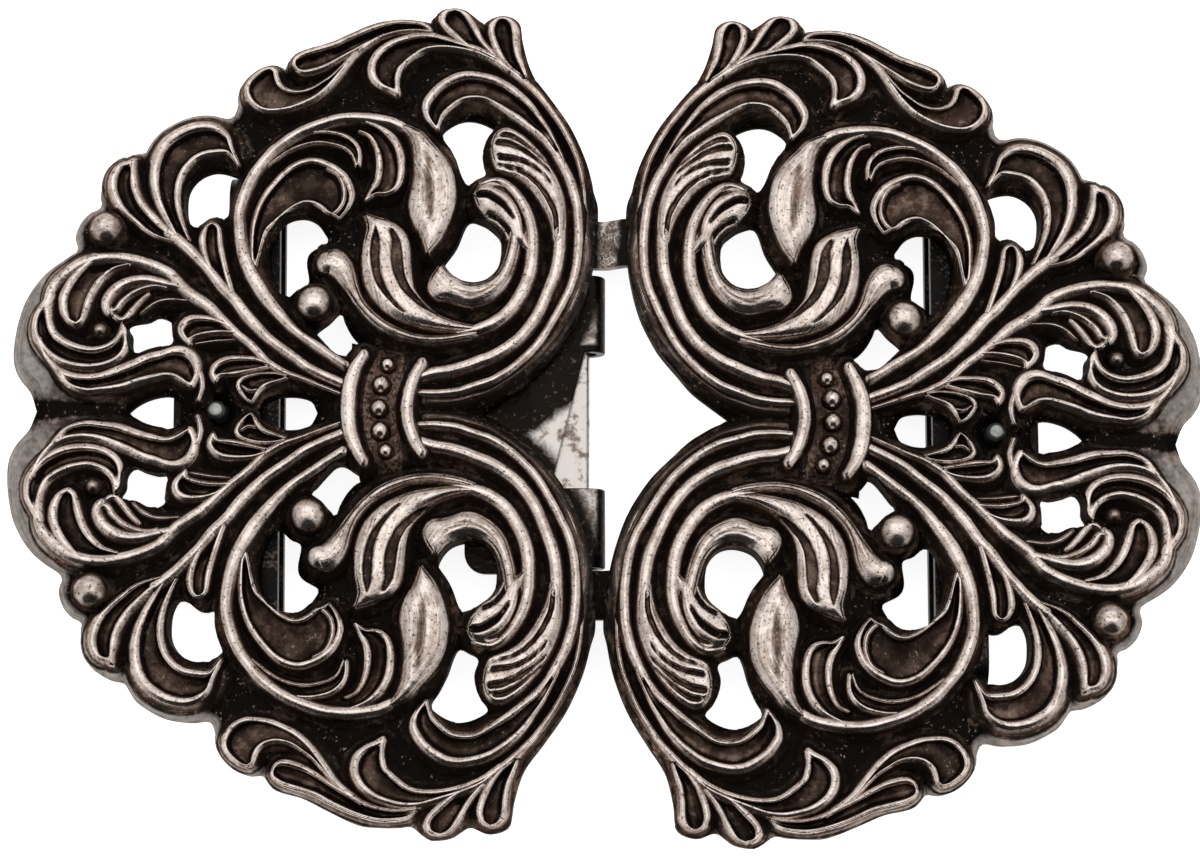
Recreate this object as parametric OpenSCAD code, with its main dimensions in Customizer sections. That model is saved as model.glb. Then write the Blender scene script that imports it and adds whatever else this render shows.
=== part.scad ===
// Apron clasp in two hooked halves, face up, as worn over the knot of an apron band.
// Each half is a pierced cast scroll ornament; behind the castings lie the hook plate, the catch
// frame that it hooks into, and on each side a riveted strip loop for the band.
// +X runs along the band, +Y towards the top of the face, +Z out of the face.

/* [Castings] */
// Length of one casting along the band
casting_w = 38.3; // [37.8:0.1:38.4]
// Height of one casting
casting_h = 55; // [54:0.5:56]
// Thickness of the pierced web under the ornament
web_t = 1.3; // [1.1:0.1:1.6]
// Height of the finest rims above the web
rim_rise = 1.15; // [0.9:0.05:1.4]
// Height of the fullest buds and beads above the web
bud_rise = 1.7; // [1.4:0.1:2]
// Turn of the left casting in the hooked clasp
left_turn = 0.35; // [0:0.05:0.7]
// Turn of the right casting in the hooked clasp
right_turn = 3.2; // [2.8:0.1:3.4]

/* [Hook and catch] */
// Thickness of the hook sheet
hook_t = 0.6; // [0.5:0.05:0.6]
// Height of the hook plate across both ears
hook_h = 19.5; // [19:0.1:19.6]
// Height of each curled ear
ear_h = 5.2; // [4.5:0.1:5.6]
// Width of the catch bar
bar_w = 4.1; // [3.6:0.1:4.4]
// Width of the two catch arms
arm_w = 3.2; // [2.8:0.1:3.4]
// Thickness of the catch sheet
catch_t = 0.65; // [0.5:0.05:0.7]

/* [Band loops] */
// Height of a band loop
loop_h = 33; // [31:0.5:34]
// Width of a loop's legs and of its back bar
leg_w = 3.4; // [3:0.1:3.8]
// Width of the riveted pad in the middle of a loop
pad_w = 6.9; // [6.4:0.1:7]
// Thickness of the loop strip
strip_t = 0.8; // [0.7:0.05:0.9]
// Gap that the band slips through
band_gap = 2.2; // [1.8:0.1:2.4]

/* [Hidden] */
$fn = 32;

// Free space between pieces that are pinned together, and the play between hook and catch
gap = 0.05;
play = 0.12;
// Depth that the relief is rooted in the web, and width of the step round the web's edges
root = 0.3;
edge_step = 0.6;
// Levels above the surface that the clasp lies on
strip_z = strip_t + band_gap;
back_z = strip_z + strip_t + gap;
web_z = back_z + web_t;
sheet_z = back_z - gap - hook_t;
catch_top = sheet_z - play;
catch_z = catch_top - catch_t;

// The ornament is drawn on a sheet on which a quarter measures this much
drawn_w = 37.35;
drawn_h = 25.84;
reach = casting_w / drawn_w;
rise = casting_h / 2 / drawn_h;

// Collar centres of the two castings, and the shift that centres the whole clasp
left_at = [-14.45, 1.2];
right_at = [15, 0.4];
clasp_shift = [-0.354, -0.921, 0];

// Edge of one quarter, from the waist beside the collar round to the notch on the midline: x, y
edge = [
    [-6.6, 0], [-9, 1.6], [-10.9, 3.5], [-12.5, 6], [-13.3, 8.4], [-13.8, 11.4], [-13.7, 13.4], [-13, 16],
    [-12, 18.2], [-10.6, 20.1], [-9.4, 21.7], [-8.9, 23.4], [-8.6, 24.9], [-8.1, 25.3], [-7.2, 25.4],
    [-6.2, 25],
    [-5, 25.7], [-3.9, 25.84], [-3.4, 25.7], [-2.5, 25], [-0.6, 25.1], [0.8, 25], [2.4, 24.2], [4.2, 23.4],
    [5.9, 22.9], [6.6, 22.1], [7.6, 22.1], [8.7, 21.6], [9.6, 20.4], [10.1, 19], [11.4, 18.9], [13, 18.7],
    [14.6, 17.8], [15.5, 16.6], [16.8, 16.3], [17.8, 15.4], [18.3, 14.3], [18.4, 13], [19.5, 12.2],
    [19.9, 11.2],
    [19.8, 10.2], [21, 9.4], [22.4, 7.9], [23.3, 5.8], [23.55, 3.7], [23, 1.9], [22.3, 1.1], [21.9, 0]
];
// Piercings of one quarter: x, y
eye_cut = [[-7.5, 11], [-6.4, 12], [-5.4, 12.1], [-4.7, 10.6], [-3.9, 9.3], [-4.6, 8.3], [-5.9, 7.9],
           [-7, 8.3], [-7.6, 9.7]];
fan_cut = [[-7.1, 18.1], [-6.3, 18.6], [-5.3, 18.8], [-4.4, 18.6], [-3.6, 17.9], [-4.6, 16], [-5.3, 14.5],
           [-6.5, 15.1], [-6.4, 16.8]];
scroll_cut = [[3.7, 10.9], [4.3, 12.1], [5.2, 12.4], [6.2, 12.2], [7.1, 11.2], [7.3, 9.6], [6.8, 7.7],
              [6.2, 7.2], [4.8, 8.2], [4.9, 9.8]];
diamond_cut = [[1, 4.1], [2, 5], [2.7, 6.3], [4.2, 5], [2.7, 3.4], [2.2, 3.3]];
leaf_cut = [[9.4, 14.8], [10.4, 15.3], [11.5, 15.2], [12.5, 14.5], [12.8, 13], [12.4, 11.7], [11.9, 11.6],
            [11, 12.2], [10, 12.2], [9.8, 13.8]];
volute_cut = [[13.3, 4], [13.4, 5.3], [14.3, 6], [16.2, 5.4], [15.8, 3.6], [14.8, 3.7]];
// Halves of the two piercings that lie across the midline: x, y
lens_cut = [[12.6, 0], [13.1, 0.9], [14, 1], [15.2, 0.6], [16, 0]];
waist_cut = [[4, 0], [4.6, 0.8], [5.8, 1.05], [7, 0.8], [7.6, 0]];

// Hollow leaves of one quarter, tip or stem first: x, y, half width
crest_leaf = [[-9, 21.2, 0.15], [-6, 23.05, 0.25], [-3.6, 23.5, 0.35], [-1.8, 23.2, 0.55],
              [-0.5, 22.6, 0.75],
              [0.1, 21.6, 0.75], [-0.3, 20.8, 0.35]];
shoulder_leaf = [[-12, 14.3, 0.2], [-11.2, 16.6, 0.4], [-9.6, 18.5, 0.6], [-7.6, 19.9, 0.75],
                 [-5.3, 20.7, 0.7],
                 [-3.8, 20.2, 0.75], [-3.15, 19.3, 0.6], [-3.3, 18.5, 0.25]];
lobe_leaf = [[-6.2, 23.2, 0.15], [-5, 24.4, 0.45], [-4.3, 25.2, 0.6]];
back_lobe_leaf = [[-8.5, 21.9, 0.15], [-7.8, 23.5, 0.5], [-7.6, 24.6, 0.6]];
edge_leaf = [[-3, 24.5, 0.15], [-0.6, 24.6, 0.3], [1.6, 23.8, 0.4], [4, 22.6, 0.55], [5.4, 22.2, 0.5]];
edge_curl = [[1, 23.6, 0.15], [3.2, 21.4, 0.25], [4.7, 20.15, 0.35], [6.3, 19.8, 0.6], [7.5, 20.3, 0.8],
             [7.7, 21.3, 0.5]];
ring_crescent = [[0.9, 18.2, 0.15], [-0.2, 16.9, 0.5], [-0.4, 15.4, 0.6], [0.2, 14.2, 0.35],
                 [1.1, 13.75, 0.15]];
inner_crescent = [[1.7, 15.9, 0.15], [2.7, 17.1, 0.3], [4.4, 17.4, 0.35], [6.1, 16.9, 0.3],
                  [7.3, 16, 0.15]];
ring_curl = [[8.3, 10.6, 0.2], [7.8, 12.3, 0.5], [6.8, 13.6, 0.85], [5.3, 14.5, 1.1], [3.8, 14.2, 1.1],
             [2.9, 13.2, 0.5]];
side_leaf = [[9.9, 16.6, 0.25], [11, 17.3, 0.75], [12.6, 16.95, 0.95], [13.8, 15.6, 0.9],
             [14.05, 14.2, 0.75],
             [13.6, 12.8, 0.5], [12.6, 11.5, 0.2]];
outer_leaf = [[16.6, 15.5, 0.35], [16.8, 14.2, 0.6], [16, 12.9, 0.45], [14.4, 11.6, 0.25]];
slim_leaf = [[9.9, 7.8, 0.15], [10.8, 9.5, 0.45], [11, 11.4, 0.4]];
volute_crescent = [[17.4, 9.5, 0.2], [19.1, 8.4, 0.6], [20, 6.9, 0.65], [19.9, 5.9, 0.3]];
volute_curl = [[21.9, 7.6, 0.2], [21.9, 5.4, 0.35], [21, 4, 0.5], [19.2, 3.4, 0.5], [17.4, 3.7, 0.5],
               [16.8, 5, 0.25]];
outer_curl = [[22.7, 6.2, 0.3], [22.3, 3.8, 0.4], [21, 2.1, 0.45], [18.6, 1.5, 0.4], [16.6, 2.1, 0.5],
              [14.5, 2.9, 0.65], [12.9, 2.75, 0.75], [12.2, 1.8, 0.3]];
upper_sprig = [[7.2, 2.65, 0.15], [9.2, 2.9, 0.5], [10.5, 2.6, 0.35]];
lower_sprig = [[6.4, 2, 0.15], [8.4, 1.65, 0.4], [8.8, 0.9, 0.25]];

// Rims and ribs of one quarter: x, y, half width
edge_rib = [[-9.2, 3.3, 0.15], [-12, 6.9, 0.2], [-13, 11, 0.22], [-12.9, 13.2, 0.2], [-12.2, 16.2, 0.2],
            [-10.6, 19.2, 0.2], [-9, 21.2, 0.2]];
outer_rib = [[-2.8, 1.1, 0.22], [-5, 1.35, 0.22], [-7.6, 2.5, 0.2], [-9.6, 4.15, 0.2], [-11.3, 6.6, 0.2],
             [-12.3, 9.5, 0.2], [-12.4, 12, 0.2], [-12, 14.3, 0.2]];
fan_rib = [[-3, 2.05, 0.28], [-5, 2.55, 0.26], [-7.3, 3.5, 0.26], [-9.1, 5.1, 0.25], [-10.4, 7.2, 0.25],
           [-11.1, 9.8, 0.3], [-11.25, 12.6, 0.3], [-10.6, 15.1, 0.3], [-9, 17.1, 0.28], [-7.2, 17.9, 0.28],
           [-6.65, 16.8, 0.25], [-6.8, 15.7, 0.2]];
fan_finger = [[-10.6, 12, 0.15], [-9.8, 14.6, 0.28], [-8.6, 16.1, 0.3], [-7, 16.9, 0.28]];
eye_rib = [[-6.2, 14.4, 0.22], [-7.4, 14.75, 0.24], [-8.6, 13.8, 0.28], [-9.3, 12, 0.3], [-9.5, 9.6, 0.3],
           [-8.8, 7.4, 0.3], [-7.2, 5.8, 0.3], [-5, 5.1, 0.27], [-2.7, 5.5, 0.27], [-0.3, 6.5, 0.3],
           [0.8, 7.9, 0.3], [0.95, 10.2, 0.28], [1.1, 12.3, 0.15]];
eye_finger = [[-8.8, 11.4, 0.2], [-8.1, 13.1, 0.24], [-6.9, 13.8, 0.2], [-6, 13.7, 0.2]];
ring_rib = [[-2.3, 17.1, 0.3], [-0.9, 18.3, 0.28], [1.2, 18.9, 0.28], [3.6, 18.6, 0.28], [6, 17.4, 0.28],
            [8, 15.4, 0.26], [9.2, 12.8, 0.3], [9.2, 10.2, 0.3], [8.1, 8.2, 0.3], [6.4, 5.9, 0.28],
            [4.4, 4.4, 0.26], [2.7, 3.2, 0.25]];
stem_rib = [[3.1, 1.95, 0.25], [5, 2.7, 0.25], [7, 4.2, 0.25], [8.8, 6.2, 0.25], [11, 8.6, 0.22],
            [13, 10.7, 0.22]];
volute_rib = [[3.2, 1.1, 0.18], [6, 2.1, 0.2], [8.4, 3.9, 0.2], [11.4, 6.8, 0.2], [13.8, 8.7, 0.22],
              [16, 9.7, 0.25], [18.5, 9.75, 0.22], [20.5, 8.7, 0.2], [21.6, 7.4, 0.2]];
shell_rib = [[12.6, 7.75, 0.2], [15.2, 8.3, 0.2], [17.4, 7.6, 0.25], [17.7, 6.3, 0.25]];
shell_finger = [[13.4, 7.6, 0.15], [15.6, 7.4, 0.18], [16.8, 6, 0.2]];
sprig_rib = [[9.4, 5, 0.16], [11.5, 5.7, 0.2], [12.6, 4.9, 0.2]];
// The two rims of the collar, down to the midline: x, y, half width
inner_collar = [[-2.4, 2.9, 0.25], [-1.8, 1.6, 0.27], [-1.55, 0, 0.27]];
outer_collar = [[1.2, 3.4, 0.3], [2, 1.8, 0.35], [2.35, 0, 0.35]];

// Full rounded buds of one quarter: x, y, half width
great_bud = [[-1.2, 18, 0.3], [-2.7, 16.3, 0.8], [-3.3, 14.2, 1.4], [-3.1, 12.2, 1.35], [-2.9, 10.3, 0.45],
             [-2.75, 9.6, 0.15]];
eye_bud = [[-8.5, 11.6, 0.2], [-8.2, 9.4, 0.38], [-7, 7.8, 0.5], [-5, 7.5, 0.5], [-3.4, 8.1, 0.6]];
ring_bud = [[0.9, 12.2, 0.2], [-0.3, 10.8, 0.8], [-0.3, 8.8, 0.8], [-1.4, 7, 0.6], [-4, 5.7, 0.25]];
trumpet_bud = [[-5.5, 4.6, 0.22], [-3.2, 4.35, 0.22], [-0.9, 4.75, 0.25], [1.2, 6.3, 0.42], [2.3, 8.3, 0.6],
               [3.2, 9.5, 0.75], [4.2, 9.8, 0.4]];
// Beads of one quarter: x, y, radius
beads = [[4.55, 6.95, 1], [17.9, 11.5, 0.95], [18.2, 5.2, 0.45], [-0.3, 2.65, 0.42], [0.15, 1.5, 0.6]];
mid_bead = [0.35, 0, 0.62];

// A drawn point at its true size
function true_point(p) = [p[0] * reach, p[1] * rise];
function true_row(p) = [p[0] * reach, p[1] * rise, p[2] * reach];
function true_outline(points) = [for (p = points) true_point(p)];
// Direction across a row of places at place i
function across(rows, i) =
    let (a = rows[max(i - 1, 0)], b = rows[min(i + 1, len(rows) - 1)], d = [b[0] - a[0], b[1] - a[1]])
    [-d[1], d[0]] / norm(d);
// Rims narrower than this half width sink into the web as they run out
thin = 0.24;
function fade(half_w) = min(1, half_w / thin);

// A solid swept along rows of x, y, half width; its section lists share of half width, extra, height
module swept(drawn_rows, section) {
    rows = [for (p = drawn_rows) true_row(p)];
    sides = len(section);
    points = [
        for (i = [0:len(rows) - 1], s = section)
            let (n = across(rows, i), off = s[0] * rows[i][2] + s[1])
            [rows[i][0] + n[0] * off, rows[i][1] + n[1] * off,
             web_z - root + (s[2] > 0 ? root + s[2] * fade(rows[i][2]) : 0)]
    ];
    walls = [
        for (i = [0:len(rows) - 2], k = [0:sides - 1])
            let (next = (k + 1) % sides)
            [i * sides + k, (i + 1) * sides + k, (i + 1) * sides + next, i * sides + next]
    ];
    near_end = [for (k = [0:sides - 1]) k];
    far_end = [for (k = [sides - 1:-1:0]) (len(rows) - 1) * sides + k];
    polyhedron(points, concat(walls, [near_end, far_end]), convexity = 6);
}

// A sharp rib
module rib(rows, high) swept(rows, [[1, 0.25, 0], [0, 0, high], [-1, -0.25, 0]]);

// A leaf with two raised rims and a trough between them
module leaf(rows, high)
    swept(rows, [[1, 0.4, 0], [1, 0, high], [0, 0, high * 0.45], [-1, 0, high], [-1, -0.4, 0]]);

// A bud with a full back
module bud(rows, high)
    swept(rows, [[1, 0.1, 0], [0.65, 0, high * 0.8], [-0.65, 0, high * 0.8], [-1, -0.1, 0]]);

// A round bead on its skirt
bead_sides = 10;
module bead(at) {
    p = true_row(at);
    translate([p[0], p[1], web_z - root]) hull() {
        cylinder(h = root, r = p[2] * 1.3, $fn = bead_sides);
        cylinder(h = root + bud_rise * 0.55, r = p[2], $fn = bead_sides);
        cylinder(h = root + bud_rise * 0.95, r = p[2] * 0.5, $fn = bead_sides);
    }
}

// Everything raised on one quarter
module quarter_relief() {
    for (rows = [crest_leaf, shoulder_leaf, edge_leaf, edge_curl, side_leaf, outer_leaf, lobe_leaf,
                 back_lobe_leaf, slim_leaf, upper_sprig, lower_sprig]) leaf(rows, rim_rise);
    for (rows = [ring_crescent, inner_crescent, ring_curl, volute_crescent, volute_curl, outer_curl])
        leaf(rows, rim_rise * 1.15);
    for (rows = [edge_rib, outer_rib, fan_rib, stem_rib, volute_rib, shell_rib, sprig_rib])
        rib(rows, rim_rise);
    for (rows = [eye_rib, ring_rib, inner_collar, outer_collar]) rib(rows, rim_rise * 1.25);
    for (rows = [fan_finger, eye_finger, shell_finger]) rib(rows, rim_rise * 0.9);
    for (rows = [great_bud, ring_bud]) bud(rows, bud_rise);
    for (rows = [eye_bud, trumpet_bud]) bud(rows, bud_rise * 0.85);
    for (at = beads) bead(at);
}

// Plan of the web: both quarters, less the piercings
module web_plan(inset) {
    difference() {
        offset(delta = -inset) for (side = [0, 1]) mirror([0, side]) polygon(true_outline(edge));
        for (side = [0, 1]) mirror([0, side]) {
            for (cut = [eye_cut, fan_cut, scroll_cut, diamond_cut, leaf_cut, volute_cut, lens_cut, waist_cut])
                polygon(true_outline(cut));
        }
    }
}

// Lugs cast on the back pin the sheet pieces; their places are given from the casting's collar centre
lug_r = 0.7;
hook_lugs = [[-9, 5.5], [-9, -5.5]];
arm_lugs = [[-11.7, 11.9], [-10.4, -11.5]];
// The rivet that holds the band loop
rivet_at = [10.6, 0];
rivet_r = 0.75;
head_r = 1.35;
head_t = 0.5;

// Hook sheet: its left end, the edge of its waist, the right side and the low side of its ears
hook_left = -8.9;
hook_waist = -4.7;
ear_right = 0.25;
hook_low = -9.25;
// Middle of the two ears, the outer radius of their curl, and the lip behind the bar
hook_mid = 0.95;
curl_r = 1.05;
lip_len = 2.2;
hook_top = hook_mid + hook_h / 2;
// Radii of the hook sheet's upper and lower corners
upper_corner = 4;
lower_corner = 1.4;

// Catch frame: right side of its bar, right end of its arms, start and width of the arms' step
bar_right = -1.1;
arm_end = 6.2;
step_x = 0.45;
step_w = 1.2;
// Middle of the catch frame, and how far from it the arms begin
catch_mid = 1.2;
arm_in = 10.15;

// Band loops: inner edge of a loop seen from its rivet, height and corners of its pad, each loop's turn
loop_in = -3.9;
pad_h = 17;
pad_corner = 1.5;
left_loop_turn = -1;
right_loop_turn = 0.6;

// Places a half by its collar centre, with its outer end to the left or the right
module at_left(turn) translate(clasp_shift) translate(left_at) rotate([0, 0, 180 - turn]) children();
module at_right(turn) translate(clasp_shift) translate(right_at) rotate([0, 0, -turn]) children();
// The place in the whole clasp of a point given from a casting's collar centre
function turned(p, a) = [p[0] * cos(a) - p[1] * sin(a), p[0] * sin(a) + p[1] * cos(a)];
function from_left(p) = left_at + turned(p, 180 - left_turn);
function from_right(p) = right_at + turned(p, -right_turn);

// One casting about its collar centre, outer end towards +X
module casting(lugs) {
    difference() {
        union() {
            translate([0, 0, back_z]) linear_extrude(web_t * 0.6) web_plan(0);
            translate([0, 0, back_z]) linear_extrude(web_t) web_plan(edge_step);
            for (side = [0, 1]) mirror([0, side, 0]) quarter_relief();
            bead(mid_bead);
            for (at = lugs) translate([at[0], at[1], back_z - gap - hook_t])
                cylinder(h = gap + hook_t + 0.1, r = lug_r, $fn = 16);
        }
        translate([rivet_at[0], rivet_at[1], back_z - 1])
            cylinder(h = web_t + 4, r = rivet_r + gap, $fn = 20);
    }
}

module left_casting() color("silver") at_left(left_turn) casting(hook_lugs);

module right_casting() color("silver") at_right(right_turn) casting(arm_lugs);

// Sheet behind the left casting: a plate with a waist and two ears curled round behind the catch bar
module hook_plate() color("gainsboro") translate(clasp_shift) difference() {
    union() {
        translate([0, 0, sheet_z]) linear_extrude(hook_t) hull() {
            translate([hook_left + lower_corner, hook_low + lower_corner]) circle(lower_corner);
            translate([hook_left + upper_corner, hook_top - upper_corner]) circle(upper_corner);
            translate([hook_waist - 0.5, hook_low]) square([0.5, hook_top - hook_low]);
        }
        for (low = [hook_top - ear_h, hook_mid - hook_h / 2])
            translate([0, low + ear_h, 0]) rotate([90, 0, 0]) linear_extrude(ear_h) ear_section();
    }
    for (at = hook_lugs) translate([from_left(at)[0], from_left(at)[1], sheet_z - 1])
        cylinder(h = hook_t + 2, r = lug_r + gap);
}

// Section of an ear across the bar: flat, half round and a short lip
module ear_section() {
    curl_x = ear_right - curl_r;
    curl_z = sheet_z + hook_t - curl_r;
    translate([hook_waist - 0.4, sheet_z]) square([curl_x - hook_waist + 0.4, hook_t]);
    translate([curl_x, curl_z]) intersection() {
        difference() {
            circle(curl_r);
            circle(curl_r - hook_t);
        }
        translate([0, -curl_r]) square([curl_r, 2 * curl_r]);
    }
    translate([curl_x - lip_len, curl_z - curl_r]) square([lip_len, hook_t]);
    translate([curl_x - lip_len, curl_z - curl_r + hook_t / 2]) circle(hook_t / 2);
}

// Sheet behind the right casting: an upright bar on two arms that step up to the casting's back
module catch_frame() color("gainsboro") translate(clasp_shift) difference() {
    union() {
        for (low = [catch_mid + arm_in, catch_mid - arm_in - arm_w])
            translate([0, low + arm_w, 0]) rotate([90, 0, 0]) linear_extrude(arm_w) arm_section();
        translate([bar_right - bar_w, catch_mid - arm_in - 0.5, catch_z])
            cube([bar_w, 2 * arm_in + 1, catch_t]);
        translate([bar_right, catch_mid - arm_in - 0.5, catch_z + catch_t / 2]) rotate([-90, 0, 0])
            cylinder(h = 2 * arm_in + 1, r = catch_t / 2);
    }
    for (at = arm_lugs) translate([from_right(at)[0], from_right(at)[1], catch_z - 1])
        cylinder(h = catch_t + 4, r = lug_r + gap);
}

// Section of an arm along its length, low at the bar and high under the casting
module arm_section() {
    high_z = back_z - gap - catch_t;
    bar_left = bar_right - bar_w;
    polygon([
        [bar_left, catch_z], [step_x, catch_z], [step_x + step_w, high_z], [arm_end, high_z],
        [arm_end, high_z + catch_t], [step_x + step_w - 0.2, high_z + catch_t], [step_x - 0.2, catch_top],
        [bar_left, catch_top]
    ]);
}

// A strip folded into a flat ring, with a wider pad where the rivet holds it
module belt_loop() difference() {
    union() {
        translate([loop_in, 0, 0]) rotate([90, 0, 90]) linear_extrude(leg_w) ring_section();
        translate([loop_in, -pad_h / 2, strip_z]) linear_extrude(strip_t) {
            square([pad_w - pad_corner, pad_h]);
            translate([0, pad_corner]) square([pad_w, pad_h - 2 * pad_corner]);
            for (y = [pad_corner, pad_h - pad_corner]) translate([pad_w - pad_corner, y]) circle(pad_corner);
        }
    }
    translate([0, 0, strip_z - 1]) cylinder(h = strip_t + 2, r = rivet_r + gap);
}

// Section of the flat ring, seen along the band
module ring_section() {
    fold_r = strip_t + band_gap / 2;
    difference() {
        flat_ring(fold_r);
        flat_ring(fold_r - strip_t);
    }
}

// A slot shape of the given end radius between the two folds
module flat_ring(r) {
    fold_r = strip_t + band_gap / 2;
    fold_y = loop_h / 2 - fold_r;
    translate([-fold_y, fold_r - r]) square([2 * fold_y, 2 * r]);
    for (y = [-fold_y, fold_y]) translate([y, fold_r]) circle(r);
}

module left_belt_loop() color("darkgray") translate(clasp_shift) translate(from_left(rivet_at))
    rotate([0, 0, 180 - left_loop_turn]) belt_loop();

module right_belt_loop() color("darkgray") translate(clasp_shift) translate(from_right(rivet_at))
    rotate([0, 0, -right_loop_turn]) belt_loop();

// A rivet from the face of the casting to the inside of the band loop
module rivet() {
    translate([0, 0, strip_z - gap - head_t]) cylinder(h = head_t, r = head_r);
    translate([0, 0, strip_z - gap - 0.1]) cylinder(h = web_z - strip_z + 0.4, r = rivet_r);
    translate([0, 0, web_z + gap]) cylinder(h = head_t * 0.8, r1 = head_r * 0.8, r2 = head_r * 0.5);
}

module left_rivet() color("gray") translate(clasp_shift) translate(from_left(rivet_at)) rivet();

module right_rivet() color("gray") translate(clasp_shift) translate(from_right(rivet_at)) rivet();

left_casting();
right_casting();
hook_plate();
catch_frame();
left_belt_loop();
right_belt_loop();
left_rivet();
right_rivet();
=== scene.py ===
import math
import bpy
import numpy as np
from mathutils import Matrix, Vector


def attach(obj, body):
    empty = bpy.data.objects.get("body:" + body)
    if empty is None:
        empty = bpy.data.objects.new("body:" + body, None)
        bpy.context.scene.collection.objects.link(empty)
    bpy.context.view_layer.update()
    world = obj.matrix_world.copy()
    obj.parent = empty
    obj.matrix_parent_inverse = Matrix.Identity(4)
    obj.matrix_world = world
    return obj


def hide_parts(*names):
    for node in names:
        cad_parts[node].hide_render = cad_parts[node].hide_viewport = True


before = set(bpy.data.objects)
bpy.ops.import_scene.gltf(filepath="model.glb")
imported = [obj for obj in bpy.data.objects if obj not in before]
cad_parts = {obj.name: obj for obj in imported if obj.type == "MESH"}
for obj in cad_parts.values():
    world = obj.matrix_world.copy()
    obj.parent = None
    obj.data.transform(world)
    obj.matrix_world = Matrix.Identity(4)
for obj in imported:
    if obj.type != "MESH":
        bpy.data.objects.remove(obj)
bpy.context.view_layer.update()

print("frame loaded:", ", ".join(sorted(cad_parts)))

# The ornament is drawn in millimetres and brought to metres when a piece is placed.
clasp = {
    "shift": (-0.354, -0.921),
    "leftAt": (-14.45, 1.2), "leftTurn": 0.35,  # collar centre and turn of each casting
    "rightAt": (15.0, 0.4), "rightTurn": 3.2,
    "stretch": (38.3 / 37.35, 27.5 / 25.84),  # a casting's size over its drawn size
    "backZ": 3.85, "webZ": 5.15,  # back and ground of a casting
}

# Materials


class Wire:  # a socket that can be used in sums
    def __init__(self, shader, socket):
        self.shader = shader
        self.socket = socket

    def math(self, operation, *others):
        return self.shader.add("ShaderNodeMath", {"operation": operation}, dict(enumerate((self, *others))))

    def __add__(self, other):
        return self.math("ADD", other)

    def __sub__(self, other):
        return self.math("SUBTRACT", other)

    def __mul__(self, other):
        return self.math("MULTIPLY", other)

    def __rsub__(self, other):
        return self * -1 + other

    __radd__ = __add__
    __rmul__ = __mul__

    def between(self, low, high):  # 0 below low, 1 above high, smooth
        return self.shader.add("ShaderNodeMapRange", {"interpolation_type": "SMOOTHSTEP"},
                               {"Value": self, "From Min": low, "From Max": high})


class Shader:
    def __init__(self, owner, coord="Object"):
        owner.use_nodes = True
        self.owner = owner
        self.tree = owner.node_tree
        self.coord = self.add("ShaderNodeTexCoord", {}, {}, coord)

    def feed(self, socket, value):
        if isinstance(value, Wire):
            self.tree.links.new(value.socket, socket)
        else:
            socket.default_value = value

    def add(self, kind, settings, inputs, *outputs):
        node = self.tree.nodes.new(kind)
        for name, value in settings.items():
            if name == "stops":
                self.setStops(node.color_ramp, value)
            else:
                setattr(node, name, value)
        for name, value in inputs.items():
            self.feed(node.inputs[name], value)
        wires = [Wire(self, node.outputs[name]) for name in outputs or (0,)]
        return wires[0] if len(wires) == 1 else wires

    def setStops(self, ramp, stops):
        while len(ramp.elements) < len(stops):
            ramp.elements.new(0.5)
        for element, (place, colour) in zip(ramp.elements, stops):
            element.position = place
            element.color = (*colour, 1)

    def noise(self, scale, detail, roughness, distortion=0.0, coord=None):
        return self.add("ShaderNodeTexNoise", {},
                        {"Vector": coord or self.coord, "Scale": scale, "Detail": detail,
                         "Roughness": roughness, "Distortion": distortion}, "Fac")

    def scaled(self, vector, factors):
        return self.add("ShaderNodeVectorMath", {"operation": "MULTIPLY"}, {0: vector, 1: factors})

    def ramp(self, factor, stops):
        return self.add("ShaderNodeValToRGB", {"stops": stops}, {"Fac": factor})

    def mix(self, factor, first, second):  # colours
        first, second = (c if isinstance(c, Wire) else (*c, 1) for c in (first, second))
        return self.add("ShaderNodeMix", {"data_type": "RGBA"}, {0: factor, 6: first, 7: second}, 2)

    def attribute(self, name, output):
        return self.add("ShaderNodeAttribute", {"attribute_name": name}, {}, output)

    def bump(self, height, strength, distance):
        return self.add("ShaderNodeBump", {},
                        {"Height": height, "Strength": strength, "Distance": distance}, "Normal")

    def finish(self, sockets, last="Principled BSDF"):
        for name, value in sockets.items():
            self.feed(self.tree.nodes[last].inputs[name], value)
        return self.owner


def newShader(name):
    return Shader(bpy.data.materials.new(name))


oxide = {
    # colours of the metal from the blackened hollows to the rubbed silver
    "patina": [(0.0, (0.006, 0.0049, 0.0043)), (0.07, (0.0155, 0.0118, 0.01)),
               (0.22, (0.026, 0.0188, 0.0155)), (0.45, (0.088, 0.066, 0.055)),
               (0.68, (0.283, 0.227, 0.193)), (1.0, (0.70, 0.605, 0.545))],
    "worn": [(0.0, (0.006, 0.0049, 0.0043)), (0.07, (0.0155, 0.0118, 0.01)),
             (0.22, (0.028, 0.0185, 0.0145)), (0.45, (0.087, 0.056, 0.043)),
             (0.68, (0.22, 0.161, 0.131)), (1.0, (0.51, 0.425, 0.37))],
    "brown": (0.068, 0.041, 0.030), "paleBrown": (0.205, 0.138, 0.102), "stipple": (0.012, 0.008, 0.0065),
    # speck: the pale colour of bare metal specks, painted as glints
    "slope": (0.105, 0.089, 0.079), "rubbedSlope": (0.43, 0.385, 0.352), "speck": (0.34, 0.26, 0.205),
    "wearScale": 2300, "mottleScale": 800, "wipedScale": 170, "pitScale": 5200, "speckScale": 4300,
    "streak": (0.42, 6.5, 1.0),  # how often the polishing marks change along and across a rib
    "wearDepth": 0.62, "streakDepth": 1.15, "pitDepth": 0.4, "speckDepth": 0.75,
    "silverRough": 0.19, "oxideRough": 0.42, "leastMetal": 0.45,
    "edgeTint": (0.35, 0.32, 0.3, 1), "edgeIor": 1.02,  # the oxide is dark at grazing angles too
    "bumpDepth": 0.00006,
}


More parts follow.
